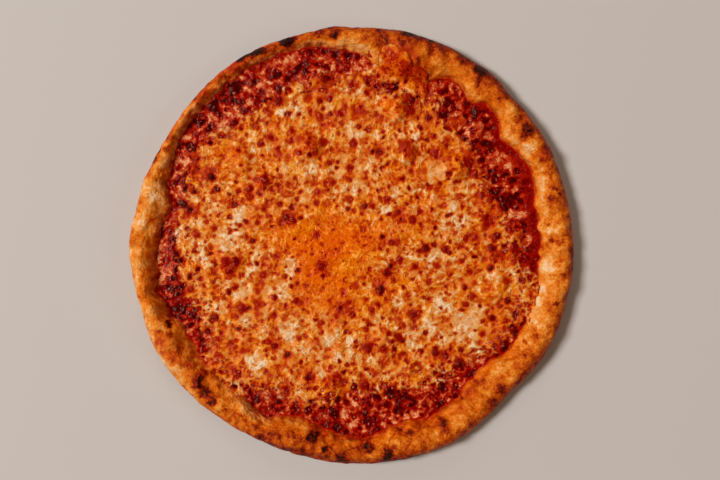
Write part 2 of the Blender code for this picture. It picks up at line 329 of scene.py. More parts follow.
# Bubbles that lift the cheese
CHEESE_HILLS = spots(
    (35, 112, 15, 4.5), (43, 75, 13, 3.5), (-35, 79, 13, 3.5), (102, 92, 10, 3), (84, 62, 13, 4),
    (-99, -16, 12, 3), (118, -36, 12, 3), (-72, 52, 8, 2), (-90, 68, 12, 2.5), (-20, -119, 12, 3.5),
    (28, -78, 14, 2.5), (52, 138, 9, 2), (-28, 138, 11, 3.5),
)
# Dark blisters where the sauce boiled through: the amount is how brown. Those on the right flanks of the
# hills, such as (48, 109), (47, 75) and (-21, 135), are partly painted shade.
DARK_BLISTERS_AND_PAINTED_SHADE = spots(
    (102.5, 107, 6.5, 1), (118, 85, 4, 0.95), (67.5, 74.5, 4, 0.7), (1, 82, 4, 0.7),
    (-1.6, 63, 3, 0.75), (7, 108.5, 3.6, 0.6), (-9, 106, 3.6, 0.7), (-127, 70, 4, 0.55),
    (-114, 55, 4, 0.95), (-54, 22, 4, 0.85), (-48, 20, 3.4, 0.8), (-137, 33, 5, 1), (-132, 28, 4, 0.95),
    (-89, -52, 5, 0.75), (-138, -53, 4, 1), (59.5, -3, 4.6, 0.85), (28.5, -23, 4.3, 0.8),
    (23.5, -36, 4.8, 0.9), (39, -12, 3.4, 0.75), (32.5, 2, 3.5, 0.75), (49.5, 20, 4, 0.7),
    (37.5, 26.5, 3.5, 0.8), (28.5, 37, 3.5, 0.7), (-24.5, -18, 4.4, 0.78), (-29, 8, 3.6, 0.65),
    (-28.5, 34, 3, 0.7), (-16, 51, 3.4, 0.6), (50, -57, 4, 0.85), (1, -57, 3.6, 0.75),
    (16, -53, 3.4, 0.65), (-2, -47, 2.6, 0.7), (68.5, -17.5, 4, 0.6), (63, -30, 3, 0.6),
    (124.5, 32, 6, 0.95), (109.5, 22, 3.8, 0.8), (109.5, 17, 3.6, 0.75), (118, 7, 3.8, 0.9),
    (114, -3, 3.8, 0.85), (98, -42, 3.4, 0.65), (106, -73, 3, 0.7), (124.5, -82, 5.5, 0.9),
    (31, -120, 5.5, 0.95), (13, -84, 5.5, 0.75), (26, -85, 4.2, 0.65), (38, -75, 4, 0.7),
    (68, -88, 4, 0.85), (76, -90, 4, 0.85), (88, -98, 6, 0.9), (110, -97, 6, 0.85),
    (-63.5, -82.5, 3.8, 0.8), (-93, -105, 4, 0.7), (-53, -117.5, 3, 0.7), (-109, -90, 3, 0.6),
    (94, 67, 5.5, 0.7), (99, 58, 4.5, 0.65), (-23, 83.5, 4.4, 0.65), (-102, -14, 5, 0.7),
    (-94, -14, 4.5, 0.8), (-99, -22, 4, 0.7), (-83, 45, 4, 0.75), (-82, 39, 3, 0.6), (-71, 53, 5, 0.75),
    (-65, 137, 4, 0.95), (-82, 131, 4, 1), (-79.5, 144, 2.6, 1), (-60, 117, 5, 0.85),
    (-97, 100, 5, 0.9), (-22, 143, 5, 0.75), (-21, 135, 4, 0.7), (-5, 145, 5, 0.75), (12, 134, 4, 0.75),
    (48, 117, 5, 0.8), (48, 109, 4.5, 0.7), (43, 82, 4.5, 0.5), (47, 75, 4, 0.5), (131, -68, 4.5, 0.85),
    (12, -128, 4.2, 1), (-18, -148, 7, 1), (-16, -138, 6, 0.95), (-12, -107, 4, 0.65),
    (-32, -108, 3.4, 0.6), (-55, -117, 3, 0.65), (-95, -103, 3.6, 0.65), (-117, 85, 4.6, 0.5),
    (-128, 73, 4, 0.5), (116, -3, 3, 0.8), (-112, 13, 3, 0.6), (-126, 8, 4, 0.6), (-148, 12, 4, 0.75),
    (-147, -4, 4, 0.6), (-112, -22, 4, 0.5), (-131, -36, 4, 0.6), (-42, -47, 3, 0.5),
    (3, -34, 3.6, 0.45), (-2, -47, 2.4, 0.6), (14, -65, 2.2, 0.8), (10, 13, 3, 0.45),
    (-25, -64, 3, 0.55), (100, 6, 3.2, 0.65), (84, 9, 2.6, 0.5), (63, 46, 3, 0.5), (86, 38, 3, 0.5),
    (56, 86, 3.4, 0.55), (77, 84, 3.4, 0.55), (62, 128, 4, 0.6), (23, 104, 3, 0.5), (-35, 120, 3, 0.5),
    (-42, 86, 4, 0.45), (-60, 75, 4, 0.5), (-58, 55, 3, 0.5), (-68, 87, 3, 0.5), (-77, 95, 3, 0.5),
    (10, -115, 5, 0.7), (95, 73, 4, 0.5), (-113.5, 113.5, 5.5, 1), (-124, 99, 5, 0.95),
    (-96, 126, 6, 0.95), (-104, 120, 4, 0.7), (-145, 50, 4, 0.9), (136, 17, 4.5, 0.8),
    (130, 12, 4, 0.7), (133, -3, 5, 0.75), (117, 95, 4, 0.8), (140, 45, 5, 0.6),
)
# Pale patches of cheese that stayed cream
CREAM_PATCHES = spots(
    (-100, 5, 13, 0.8), (-125, 3, 8, 0.7), (-146, 5, 6, 0.7), (-115, 30, 8, 0.5), (-105, -52, 6, 0.8),
    (-88, -38, 8, 0.6), (-120, -12, 8, 0.7), (-85, -62, 7, 0.7), (-50, -22, 4.5, 1), (-48, -16, 7, 0.6),
    (-60, -40, 9, 0.8), (-50, -70, 9, 0.8), (-38, -88, 7, 0.6), (-83, -94, 6, 0.9), (-75, -97, 4, 0.9),
    (-27, -104, 5, 0.9), (-18, -77, 7, 0.7), (-3, -80, 5, 0.9), (-3, -88, 4, 0.7), (18, -94, 7, 0.5),
    (48, -78, 8, 0.8), (65, -68, 8, 0.7), (76, -79, 5, 0.7), (95, -75, 8, 0.6), (103, -86, 6, 0.6),
    (88, -62, 8, 0.7), (75, -48, 11, 0.6), (65, -8, 9, 0.8), (78, 25, 8, 0.7), (82, 35, 6, 0.5),
    (70, 60, 9, 0.8), (52, 85, 6, 0.7), (0, 92, 8, 0.6), (-20, 112, 6, 0.6), (-45, 110, 9, 0.5),
    (10, 66, 8, 0.5), (37, -48, 5, 1), (14, -35, 4, 0.9), (28, 27, 4, 0.9), (-95, -117, 7, 0.9),
    (-55, 108, 6, 0.6), (-10, 60, 8, 0.4), (-2, 45, 8, 0.4), (-92, 25, 8, 0.5), (-80, -20, 7, 0.5),
    (95, -62, 8, 0.6), (85, 12, 8, 0.5), (105, -55, 7, 0.4), (-140, 10, 6, 0.6), (-30, 60, 8, 0.4),
)
# Orange oil that has pooled on the cheese
OIL_POOLS = spots(
    (-22, 0, 34, 1), (-48, 8, 20, 0.9), (5, 2, 26, 0.9), (-8, -30, 24, 0.9), (-35, -28, 16, 0.7),
    (20, -42, 16, 0.6), (-30, -48, 14, 0.6), (5, -60, 14, 0.5), (-105, 75, 14, 0.6), (-92, 70, 10, 0.6),
    (-68, 65, 9, 0.5), (35, 58, 10, 0.6), (88, 70, 12, 0.6), (36, -33, 9, 0.7), (52, 10, 14, 0.5),
    (60, 32, 12, 0.4), (-60, 92, 10, 0.3), (55, -35, 10, 0.4), (-20, 30, 14, 0.4), (118, -36, 10, 0.6),
    (-28, 137, 9, 0.8), (103, 92, 8, 0.5), (-20, -118, 10, 0.7), (33, 112, 11, 0.9),
    (-130, -17, 7, 0.6), (36, 144, 12, 0.9), (52, 131, 9, 0.9), (-110, -105, 12, 0.6),
    (45, -30, 9, 0.5), (-95, -122, 9, 0.5), (25, 15, 12, 0.5), (-70, 5, 12, 0.5), (62, 66, 7, 0.5),
    (-38, 83, 9, 0.3),
)
# Reddish brown patches where sauce and browning show through the cheese. Those just right of the hills,
# such as (47, 111), (48, 75) and (60, 132), are partly painted shade.
RED_PATCHES_AND_PAINTED_SHADE = spots(
    (-34, 82, 8, 0.8), (47, 111, 9, 1), (103, 106, 8, 1), (106, 92, 9, 0.7), (48, 75, 8, 0.9),
    (-98, -16, 10, 0.9), (-53, 21, 8, 0.9), (-71, 52, 8, 0.8), (-24, -17, 7, 0.8), (-10, -53, 9, 0.5),
    (24, -28, 7, 0.8), (112, 20, 8, 0.9), (60, -4, 6, 0.6), (-100, -52, 9, 0.5), (-62, -82, 7, 0.6),
    (33, 149, 9, 0.8), (27, 141, 6, 0.8), (42, 140, 5, 0.7), (-20, 132, 10, 0.9), (-5, 144, 8, 0.8),
    (60, 132, 12, 1), (82, 100, 8, 0.5), (124, 30, 7, 0.7), (-82, 40, 6, 0.6), (-115, 58, 8, 0.6),
    (-128, 70, 8, 0.7), (8, 70, 6, 0.4), (2, 108, 8, 0.5), (14, -84, 8, 0.6), (32, -120, 8, 0.7),
    (88, -98, 8, 0.7), (-34, -112, 7, 0.5), (69, 76, 7, 0.6), (116, -10, 8, 0.7), (-55, -117, 6, 0.5),
    (40, 22, 9, 0.5), (-22, 96, 8, 0.4), (100, 60, 6, 0.5), (52, -56, 7, 0.5), (-132, 28, 8, 0.8),
    (-60, 117, 8, 0.7), (122, 88, 9, 0.9), (46, 140, 10, 0.7), (-14, -112, 9, 0.6), (-4, -120, 7, 0.5),
    (74, -90, 7, 0.6), (135, -70, 7, 0.6), (108, -96, 8, 0.7),
)


@dataclass(frozen=True)
class BlisterField:
    """Small blisters of one range of sizes, spread over the cheese on a loose pattern.

    Args:
        pitch: Their mean distance, in millimetres.
        small: The radius of the smallest, in millimetres.
        large: The radius of the largest, in millimetres.
        pale: How brown the palest is.
        dark: How brown the darkest is.
        kept: The share of the pattern's places that has one.
    """

    pitch: float
    small: float
    large: float
    pale: float
    dark: float
    kept: float


BLISTER_FIELDS = (
    BlisterField(5.6, 0.8, 1.8, 0.3, 0.65, 0.6),
    BlisterField(8.6, 1.7, 3.5, 0.4, 0.95, 0.8),
)


# Forms and masks, worked out as fields over the pizza's plane


class Raster:
    """A square grid of points over the pizza, in millimetres, on which fields are worked out."""

    CELL = 0.5
    HALF = 188.0
    MARGIN = 3.0

    def __init__(self) -> None:
        """Lays out the grid."""
        count = int(2 * self.HALF / self.CELL) + 1
        line = np.linspace(-self.HALF, self.HALF, count)
        self.x, self.y = np.meshgrid(line, line)

    def sample(self, values: Array, x: Array, y: Array) -> Array:
        """Reads a field between its grid points.

        Args:
            values: The field.
            x: Places in millimetres.
            y: Places in millimetres.

        Returns:
            The field at each place.
        """
        column = np.clip((x + self.HALF) / self.CELL, 0, values.shape[1] - 1.001)
        row = np.clip((y + self.HALF) / self.CELL, 0, values.shape[0] - 1.001)
        left, low = column.astype(int), row.astype(int)
        across, up = column - left, row - low
        lower = blend(values[low, left], values[low, left + 1], across)
        upper = blend(values[low + 1, left], values[low + 1, left + 1], across)
        return blend(lower, upper, up)

    def window(self, spot: Spot, reach: float) -> tuple[slice, slice]:
        """The part of the grid round a spot.

        Args:
            spot: The spot.
            reach: How far the part reaches, in radii of the spot.

        Returns:
            Slices of rows and columns.
        """
        margin = spot.radius * reach + self.MARGIN
        column = int((spot.x + self.HALF - margin) / self.CELL)
        row = int((spot.y + self.HALF - margin) / self.CELL)
        size = int(2 * margin / self.CELL) + 2
        return slice(max(row, 0), row + size), slice(max(column, 0), column + size)


class Dough:
    """The form of the crust, the same as the frame's solid, worked out for whole arrays of points.

    Its sizes are in millimetres.
    """

    FOOT = 7.0  # the height at which the inner slope starts
    RISEN = 11.0  # the height from which the rim has all its relief
    WIDEST_AT = 8.0
    CREST_INSET = 10.0
    CREST_SHARE = 0.42  # of the rim's width, where that is less than the inset
    BOTTOM_CURL = 7.0
    FLOOR_TOP = 4.5
    LUMPS = 1.1
    LUMP_WIDTH = 16.0
    EDGE_WAVES = ((3.2, 13.0), (1.6, 5.5))  # amount and width of each layer
    WAVE_CIRCLE = 150.0  # the radius on which the waves of the inner edge are read

    def __init__(self, noise: Noise) -> None:
        """Keeps the noise that makes the dough uneven."""
        self.noise = noise

    def radii(self, azimuth: Array) -> tuple[Array, Array, Array]:
        """The rim's edges.

        Args:
            azimuth: Azimuths in degrees.

        Returns:
            The inner, crest and outer radius at each azimuth, in millimetres.
        """
        inner, outer = RIM_INNER.at(azimuth), RIM_OUTER.at(azimuth)
        turn = np.radians(azimuth)
        x, y = self.WAVE_CIRCLE * np.cos(turn), self.WAVE_CIRCLE * np.sin(turn)
        for amount, width in self.EDGE_WAVES:
            inner = inner + amount * self.noise.at(width, x, y)
        crest = outer - np.minimum(self.CREST_SHARE * (outer - inner), self.CREST_INSET)
        return inner, crest, outer

    def large_relief(self, x: Array, y: Array) -> Array:
        """The height that domes, hollows and lumps add to the rim.

        Args:
            x: Places in millimetres.
            y: Places in millimetres.

        Returns:
            The added height at each place.
        """
        total = self.LUMPS * self.noise.layered(self.LUMP_WIDTH, x, y, layers=2)
        for spot in RIM_RELIEF:
            total = total + spot.amount * dome(np.hypot(x - spot.x, y - spot.y), spot.radius)
        return total

    def slope_height(self, azimuth: Array, share: Array) -> Array:
        """The height of the inner slope, from foot (share 0) to crest (share 1), without relief."""
        high = RIM_HEIGHT.at(azimuth)
        return self.FOOT + (high - self.FOOT) * np.sin(np.clip(share, 0.0, 1.0) * math.pi / 2.0)

    def on_rim(self, height: Array) -> Array:
        """How much of the rim's relief a point of that height has."""
        return smoothstep(self.FOOT, self.RISEN, height)


def paint(features: Iterable[Spot], x: Array, y: Array, edge: float = 0.45) -> Array:
    """The largest strength that any of the features has at each point.

    Args:
        features: Round features whose amount is their strength.
        x: Places in millimetres.
        y: Places in millimetres.
        edge: The share of the radius over which a feature fades out.

    Returns:
        The strength at each point.
    """
    total = np.zeros_like(x)
    for spot in features:
        near = np.hypot(x - spot.x, y - spot.y) / spot.radius
        total = np.maximum(total, abs(spot.amount) * smoothstep(1.0 + edge, 1.0 - edge, near))
    return total


def evened(values: Array, where: Array) -> Array:
    """Spreads values evenly over 0 to 1 by their rank.

    Args:
        values: The values.
        where: Which of them set the ranks.

    Returns:
        For each value, the share of the chosen ones that are smaller.
    """
    ranked = np.sort(values[where])[::100]
    return np.interp(values, ranked, np.linspace(0.0, 1.0, len(ranked)))


class Topping:
    """Heights and colour masks of the sauce and the cheese, on the raster, in millimetres."""

    SAUCE_TOP = 6.5
    CHEESE_THICKNESS = 1.9
    SUNK_BY = 1.3  # how far a bare edge of the cheese dips under the sauce
    RAGGED_BY = 4.5
    RAGGED_WIDTH = 17.0
    HILL_LIFT = 1.4
    EDGE_FADE = 13.0  # the width over which the cheese thins out
    MENISCUS = 0.4
    FIELD_RADIUS = 160.0
    BUBBLE_FROM = 2.2  # blisters with a larger radius keep a bubble
    BUBBLE_RISE = 0.34  # its height, as a share of the radius
    BLISTER_REACH = 2.2  # how far a blister's stamp reaches, in radii
    CALM_AZIMUTH = 15.0  # the side on which smooth sauce has pooled at the rim

    def __init__(self, dough: Dough, noise: Noise) -> None:
        """Works every field out.

        Args:
            dough: The crust's form, which carries the topping.
            noise: The noise that makes the topping uneven.
        """
        self.dough, self.noise = dough, noise
        self.raster = Raster()
        x, y = self.raster.x, self.raster.y
        self.radius = np.hypot(x, y)
        self.azimuth = np.degrees(np.arctan2(y, x)) % 360.0
        self.inner, self.crest, _ = dough.radii(self.azimuth)
        self.warped_x = x + 1.3 * noise.at(5.0, x, y) + 0.7 * noise.at(2.1, x + 90.0, y)
        self.warped_y = y + 1.3 * noise.at(5.0, x, y + 70.0) + 0.7 * noise.at(2.1, x, y + 40.0)
        self.lift = sum(
            self.HILL_LIFT * hill.amount * smoothstep(1.15, 0.15, self.spread(hill) / hill.radius)
            for hill in CHEESE_HILLS
        )
        self.lay_ground()
        self.lay_cheese()
        self.boil_blisters()
        self.mottle()
        self.settle()
        self.colour_cheese()
        self.colour_sauce()
        log.info("topping fields on %d x %d points", *x.shape)

    def spread(self, spot: Spot) -> Array:
        """Distances from a spot's middle, bent so that its edge is uneven."""
        bent_x = self.warped_x * 2.0 - self.raster.x
        return np.hypot(bent_x - spot.x, self.warped_y * 2.0 - self.raster.y - spot.y)

    def gathered(self, features: Iterable[Spot], widen: float) -> Array:
        """A mask of soft-edged patches, added up and held to 0 to 1.

        Args:
            features: The patches, whose amount is their strength.
            widen: How many of its radii a patch reaches.

        Returns:
            The mask on the raster.
        """
        return np.clip(sum(s.amount * dome(self.spread(s), s.radius * widen) for s in features), 0.0, 1.0)

    def ridges(self, width: float, shift: float) -> Array:
        """Curved strands, 1 along their middles, that enclose cells about a width across."""
        bent = self.noise.at(width, self.warped_x + shift, self.warped_y - shift)
        return smoothstep(0.0, 1.0, 1.15 - 2.6 * np.abs(bent))

    def lay_ground(self) -> None:
        """The sauce's surface and, past its edge, the rim's inner slope."""
        x, y, noise = self.raster.x, self.raster.y, self.noise
        share = (self.radius - self.inner) / (self.crest - self.inner)
        slope = self.dough.slope_height(self.azimuth, share)
        self.slope = slope + self.dough.on_rim(slope) * self.dough.large_relief(x, y)
        pulp = noise.layered(3.2, self.warped_x, self.warped_y, layers=2)
        thick = noise.layered(11.0, x + 30.0, y, layers=2)
        pooled = smoothstep(0.78, 0.99, np.cos(np.radians(self.azimuth - self.CALM_AZIMUTH)))
        width = 0.8 + 7.5 * pooled + 2.5 * noise.layered(9.0, x, y + 12.0, layers=2)
        self.calm = smoothstep(1.25 * width, 0.6 * width, self.inner - self.radius)
        rough = 1.0 - 0.75 * self.calm
        self.sauce = self.SAUCE_TOP + 0.45 * thick + rough * (0.55 * pulp + 0.2 * noise.at(1.3, x, y))
        meniscus = smoothstep(-6.0, 1.0, self.radius - self.inner)
        self.sauce += self.lift + self.MENISCUS * meniscus
        level = self.SAUCE_TOP + self.lift
        self.ground = np.where(self.radius > self.inner, np.maximum(self.slope, level), level)

    def lay_cheese(self) -> None:
        """The thickness of the cheese, which is below 0 where it leaves the sauce bare."""
        x, y, noise = self.raster.x, self.raster.y, self.noise
        ragged = self.RAGGED_BY * noise.layered(self.RAGGED_WIDTH, x + 11.0, y, layers=3)
        self.inwards = CHEESE_EDGE.at(self.azimuth) + ragged - self.radius
        self.web = np.maximum(self.ridges(10.0, 50.0), 0.9 * self.ridges(6.0, 20.0))
        self.uneven = noise.at(8.0, x, y + 31.0)
        self.grain = noise.at(3.4, self.warped_x, self.warped_y)
        cover = self.inwards / self.EDGE_FADE + 0.25 + 0.9 * (self.web - 0.4)
        cover = cover + 0.4 * self.uneven + 0.25 * self.grain
        cover += 0.7 * noise.at(17.0, x + 71.0, y)
        topped = paint(TOPPED_BUBBLE, self.warped_x, self.warped_y, 0.4)
        self.cover = blend(cover, 1.2 + 0.6 * self.uneven, topped)
        above = self.CHEESE_THICKNESS * (1.0 - np.exp(-np.maximum(self.cover, 0.0) / 0.35))
        below = self.SUNK_BY * (1.0 - np.exp(np.minimum(self.cover, 0.0) / 0.3))
        self.thickness = above - below
        lumps = 1.2 * noise.layered(8.5, x, y + 60.0, layers=2) + 0.6 * (self.web - 0.3)
        grain = 0.3 * self.grain + 0.12 * noise.at(1.7, x, y)
        self.thickness += (lumps + grain) * smoothstep(-0.2, 0.8, self.cover)

    def boil_blisters(self) -> None:
        """Pits where sauce and oil boiled through, with browned bubbles in the larger ones."""
        shape = self.raster.x.shape
        self.pit, self.halo = np.zeros(shape), np.zeros(shape)
        self.sink, self.swell = np.zeros(shape), np.zeros(shape)
        self.oil = self.gathered(OIL_POOLS, 1.25)
        self.cream = self.gathered(CREAM_PATCHES, 1.35)
        rng = np.random.default_rng(BLISTER_SEED)
        for blisters in BLISTER_FIELDS:
            self.scatter_blisters(blisters, rng)
        # Some of these listed spots sit on the hills' right flanks and are partly painted shade.
        for spot in DARK_BLISTERS_AND_PAINTED_SHADE:
            self.stamp(spot)

    def scatter_blisters(self, blisters: BlisterField, rng: np.random.Generator) -> None:
        """Stamps blisters on a shaken triangular pattern, fewer and smaller on oil and cream.

        Args:
            blisters: Their sizes and tones.
            rng: The source of random draws.
        """
        count = int(self.FIELD_RADIUS / blisters.pitch)
        for row in range(-count, count + 1):
            for column in range(-count, count + 1):
                shift = rng.uniform(-0.48, 0.48, 2)
                size, tone, chance = rng.random(3)
                x = blisters.pitch * (column + 0.5 * (row % 2) + shift[0])
                y = blisters.pitch * (row + shift[1])
                if math.hypot(x, y) > self.FIELD_RADIUS:
                    continue
                oil = float(self.raster.sample(self.oil, x, y))
                cream = float(self.raster.sample(self.cream, x, y))
                if chance > blisters.kept * (1.0 - 0.55 * oil - 0.3 * cream):
                    continue
                radius = blend(blisters.small, blisters.large, size * size)
                radius = radius * (1.0 - 0.35 * oil - 0.2 * cream)
                self.stamp(Spot(x, y, radius, blend(blisters.pale, blisters.dark, tone) - 0.1 * cream))

    def stamp(self, spot: Spot) -> None:
        """Presses one blister into the fields.

        Args:
            spot: Its place and size; the amount is how brown it is.
        """
        rows, columns = self.raster.window(spot, self.BLISTER_REACH)
        x, y = self.warped_x[rows, columns], self.warped_y[rows, columns]
        near = np.hypot(x - spot.x, y - spot.y) / spot.radius
        depth = min(0.28 + 0.22 * spot.radius, 1.0)
        stamped = [
            (self.pit, smoothstep(1.08, 0.72, near) * spot.amount * (1.1 - 0.28 * near)),
            (self.halo, smoothstep(2.0, 0.85, near) * min(1.0, 0.55 + 0.5 * spot.amount)),
            (self.sink, depth * smoothstep(1.2, 0.5, near)),
        ]
        if spot.radius > self.BUBBLE_FROM:
            stamped.append((self.swell, self.BUBBLE_RISE * spot.radius * dome(near, 0.95)))
        for values, mark in stamped:
            values[rows, columns] = np.maximum(values[rows, columns], mark)

    def mottle(self) -> None:
        """Adds soft reddish blots between the blisters."""
        x, y, noise = self.raster.x, self.raster.y, self.noise
        blots = noise.at(4.2, self.warped_x + 25.0, self.warped_y) + 0.5 * noise.at(1.9, x + 5.0, y)
        blots += 0.5 * noise.at(8.0, x + 40.0, y) - 0.45 * self.cream - 0.35 * self.oil
        mottle = smoothstep(0.2, 0.95, blots)
        self.pit = np.maximum(self.pit, 0.55 * mottle)
        self.halo = np.maximum(self.halo, 0.7 * smoothstep(-0.1, 0.6, blots))
        self.sink = np.maximum(self.sink, 0.4 * mottle)

    def settle(self) -> None:
        """The final height of the cheese, which is flatter where oil stands on it."""
        keep = smoothstep(-0.3, 0.5, self.thickness)
        self.thickness += (self.swell - self.sink) * keep
        flat = blend(self.thickness, self.CHEESE_THICKNESS, 0.55 * self.oil * keep)
        self.cheese_top = self.ground + flat

    def colour_cheese(self) -> None:
        """The cheese's tone, evened out to shares of 0 to 1, and its masks."""
        x, y, noise = self.raster.x, self.raster.y, self.noise
        # Some listed red patches sit on the hills' right flanks and are partly painted shade.
        red = self.gathered(RED_PATCHES_AND_PAINTED_SHADE, 1.3)
        large = noise.at(14.0, x, y + 44.0)
        tone = 0.55 * self.web + 0.4 * self.uneven + 0.4 * self.grain + 0.5 * large
        tone += 0.95 * self.cream - 0.55 * self.halo - 1.3 * self.pit - 1.3 * red
        self.tone = evened(tone, self.inwards > 10.0)
        curd = self.cream - 0.7 * red - 0.5 * self.oil + 0.45 * noise.at(11.0, x + 9.0, y)
        self.curd = smoothstep(-0.12, 0.75, curd + 0.3 * self.web)
        self.red = smoothstep(-0.2, 0.75, red - 0.5 * self.cream + 0.5 * noise.at(12.0, x, y + 15.0))
        self.stain = smoothstep(1.7, 0.3, self.thickness) * smoothstep(1.3, 0.1, self.cover)

    def colour_sauce(self) -> None:
        """The sauce's tone, evened out to shares of 0 to 1, and its final height."""
        x, y, noise = self.raster.x, self.raster.y, self.noise
        wisps = 0.8 * self.ridges(8.0, 80.0) + 0.8 * noise.at(6.0, x + 5.0, y) + 0.4 * noise.at(2.6, x, y)
        wisps += 0.9 * noise.at(15.0, x, y) - 0.9 * self.pit
        self.sauce_tone = evened(wisps, (self.inwards < 4.0) & (self.radius < self.inner))
        self.sauce += 0.5 * self.swell - 0.3 * self.sink + 0.3 * self.ridges(7.0, 80.0)


# Meshes and node trees


def linear_colour(hex_code: str) -> tuple[float, float, float, float]:
    """Turns an sRGB hex code into linear RGBA.

    Args:
        hex_code: Six hex digits.

    Returns:
        The four channels, from 0 to 1.
    """
    channels = [int(hex_code[i : i + 2], 16) / 255 for i in (0, 2, 4)]
    linear = [c / 12.92 if c <= 0.04045 else ((c + 0.055) / 1.055) ** 2.4 for c in channels]
    return (*linear, 1.0)


def add(
    tree: bpy.types.NodeTree,
    kind: str,
    links: dict | None = None,
    stops: Sequence[tuple[float, str]] = (),
    **settings: object,
) -> bpy.types.Node:
    """Adds a node.

    Args:
        tree: The tree that gets it.
        kind: The node's type.
        links: For each input, by name or number, a constant or the socket that feeds it.
        stops: Places and hex colours of a colour ramp.
        settings: The node's own settings.

    Returns:
        The node.
    """
    node = tree.nodes.new(kind)
    for name, value in settings.items():
        setattr(node, name, value)
    for key, value in (links or {}).items():
        if isinstance(value, bpy.types.NodeSocket):
            tree.links.new(value, node.inputs[key])
        else:
            node.inputs[key].default_value = value
    if stops:
        elements = node.color_ramp.elements
        while len(elements) < len(stops):
            elements.new(1.0)
        for element, (place, colour) in zip(elements, stops):
            element.position = place
            element.color = linear_colour(colour)
    return node


def new_material(name: str) -> tuple[bpy.types.Material, bpy.types.NodeTree, bpy.types.Node]:
    """An empty material, its tree and its Principled shader.

    Args:
        name: The material's name.

    Returns:
        The material, its node tree and the shader node, linked to the output.
    """
    material = bpy.data.materials.new(name)
    material.use_nodes = True
    tree = material.node_tree
    tree.nodes.clear()
    shader = add(tree, "ShaderNodeBsdfPrincipled")
    add(tree, "ShaderNodeOutputMaterial", {"Surface": shader.outputs[0]})
    return material, tree, shader


def mesh_piece(
    name: str,
    points: Array,
    faces: Sequence[Array],
    masks: dict[str, Array],
    material: bpy.types.Material,
) -> bpy.types.Object:
    """A smooth-shaded piece from computed points.

    Args:
        name: The piece's name.
        points: Its points in millimetres.
        faces: Arrays of faces, each of one number of corners.
        masks: Point attributes that its material reads.
        material: Its material.

    Returns:
        The object, linked to the scene.
    """
    mesh = bpy.data.meshes.new(name)
    sizes = np.concatenate([np.full(len(part), part.shape[1]) for part in faces])
    corners = np.concatenate([part.ravel() for part in faces])
    mesh.vertices.add(len(points))
    mesh.vertices.foreach_set("co", (points * MM).astype(np.float32).ravel())
    mesh.loops.add(len(corners))
    mesh.loops.foreach_set("vertex_index", corners.astype(np.int32))
    mesh.polygons.add(len(sizes))
    starts = np.concatenate([[0], np.cumsum(sizes)[:-1]])
    mesh.polygons.foreach_set("loop_start", starts.astype(np.int32))
    mesh.update(calc_edges=True)
    mesh.validate()
    mesh.shade_smooth()
    for label, values in masks.items():
        attribute = mesh.attributes.new(label, "FLOAT", "POINT")
        attribute.data.foreach_set("value", values.astype(np.float32).ravel())
    mesh.materials.append(material)
    piece = bpy.data.objects.new(name, mesh)
    bpy.context.scene.collection.objects.link(piece)
    return piece


def ring_faces(rows: int, steps: int) -> Array:
    """Quads of a closed band of rows, which face out where the rows go down on the outside.

    Args:
        rows: The number of rows.
        steps: The number of points in each row.

    Returns:
        The quads.
    """
    row, step = np.meshgrid(np.arange(rows - 1), np.arange(steps), indexing="ij")
    here = row * steps + step
    beside = row * steps + (step + 1) % steps
    return np.stack([here, here + steps, beside + steps, beside], axis=-1).reshape(-1, 4)


def fan_faces(start: int, steps: int, middle: int, up: bool) -> Array:
    """Triangles that close a ring with a point in its middle.

    Args:
        start: The ring's first point.
        steps: The ring's number of points.
        middle: The point in the middle.
        up: Whether the triangles face up.

    Returns:
        The triangles.
    """
    step = np.arange(steps)
    first, second = start + step, start + (step + 1) % steps
    ends = (first, second) if up else (second, first)
    return np.stack([*ends, np.full(steps, middle)], axis=-1)


def skin_faces(rows: int, steps: int) -> list[Array]:
    """The faces of a closed round skin: its bands, then its upper and its lower middle.

    Args:
        rows: The number of rows.
        steps: The number of points in each row.

    Returns:
        The quads and the two fans, whose middles are the two points after the rows.
    """
    points = rows * steps
    return [
        ring_faces(rows, steps),
        fan_faces(0, steps, points, True),
        fan_faces(points - steps, steps, points + 1, False),
    ]


def hand_over(piece: bpy.types.Object, slot: Slot, *nodes: str) -> bpy.types.Object:
    """Lets a finished piece ride on the pizza's one body and replace its nodes.

    Args:
        piece: The piece.
        slot: The material slot meant for it, which is not used.
        nodes: The nodes that it stands for.

    Returns:
        The piece.
    """
    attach(piece, "root")
    if nodes:
        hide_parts(*nodes)
    piece.data.calc_loop_triangles()
    log.info("%s: %d triangles", piece.name, len(piece.data.loop_triangles))
    return piece


# Finishes


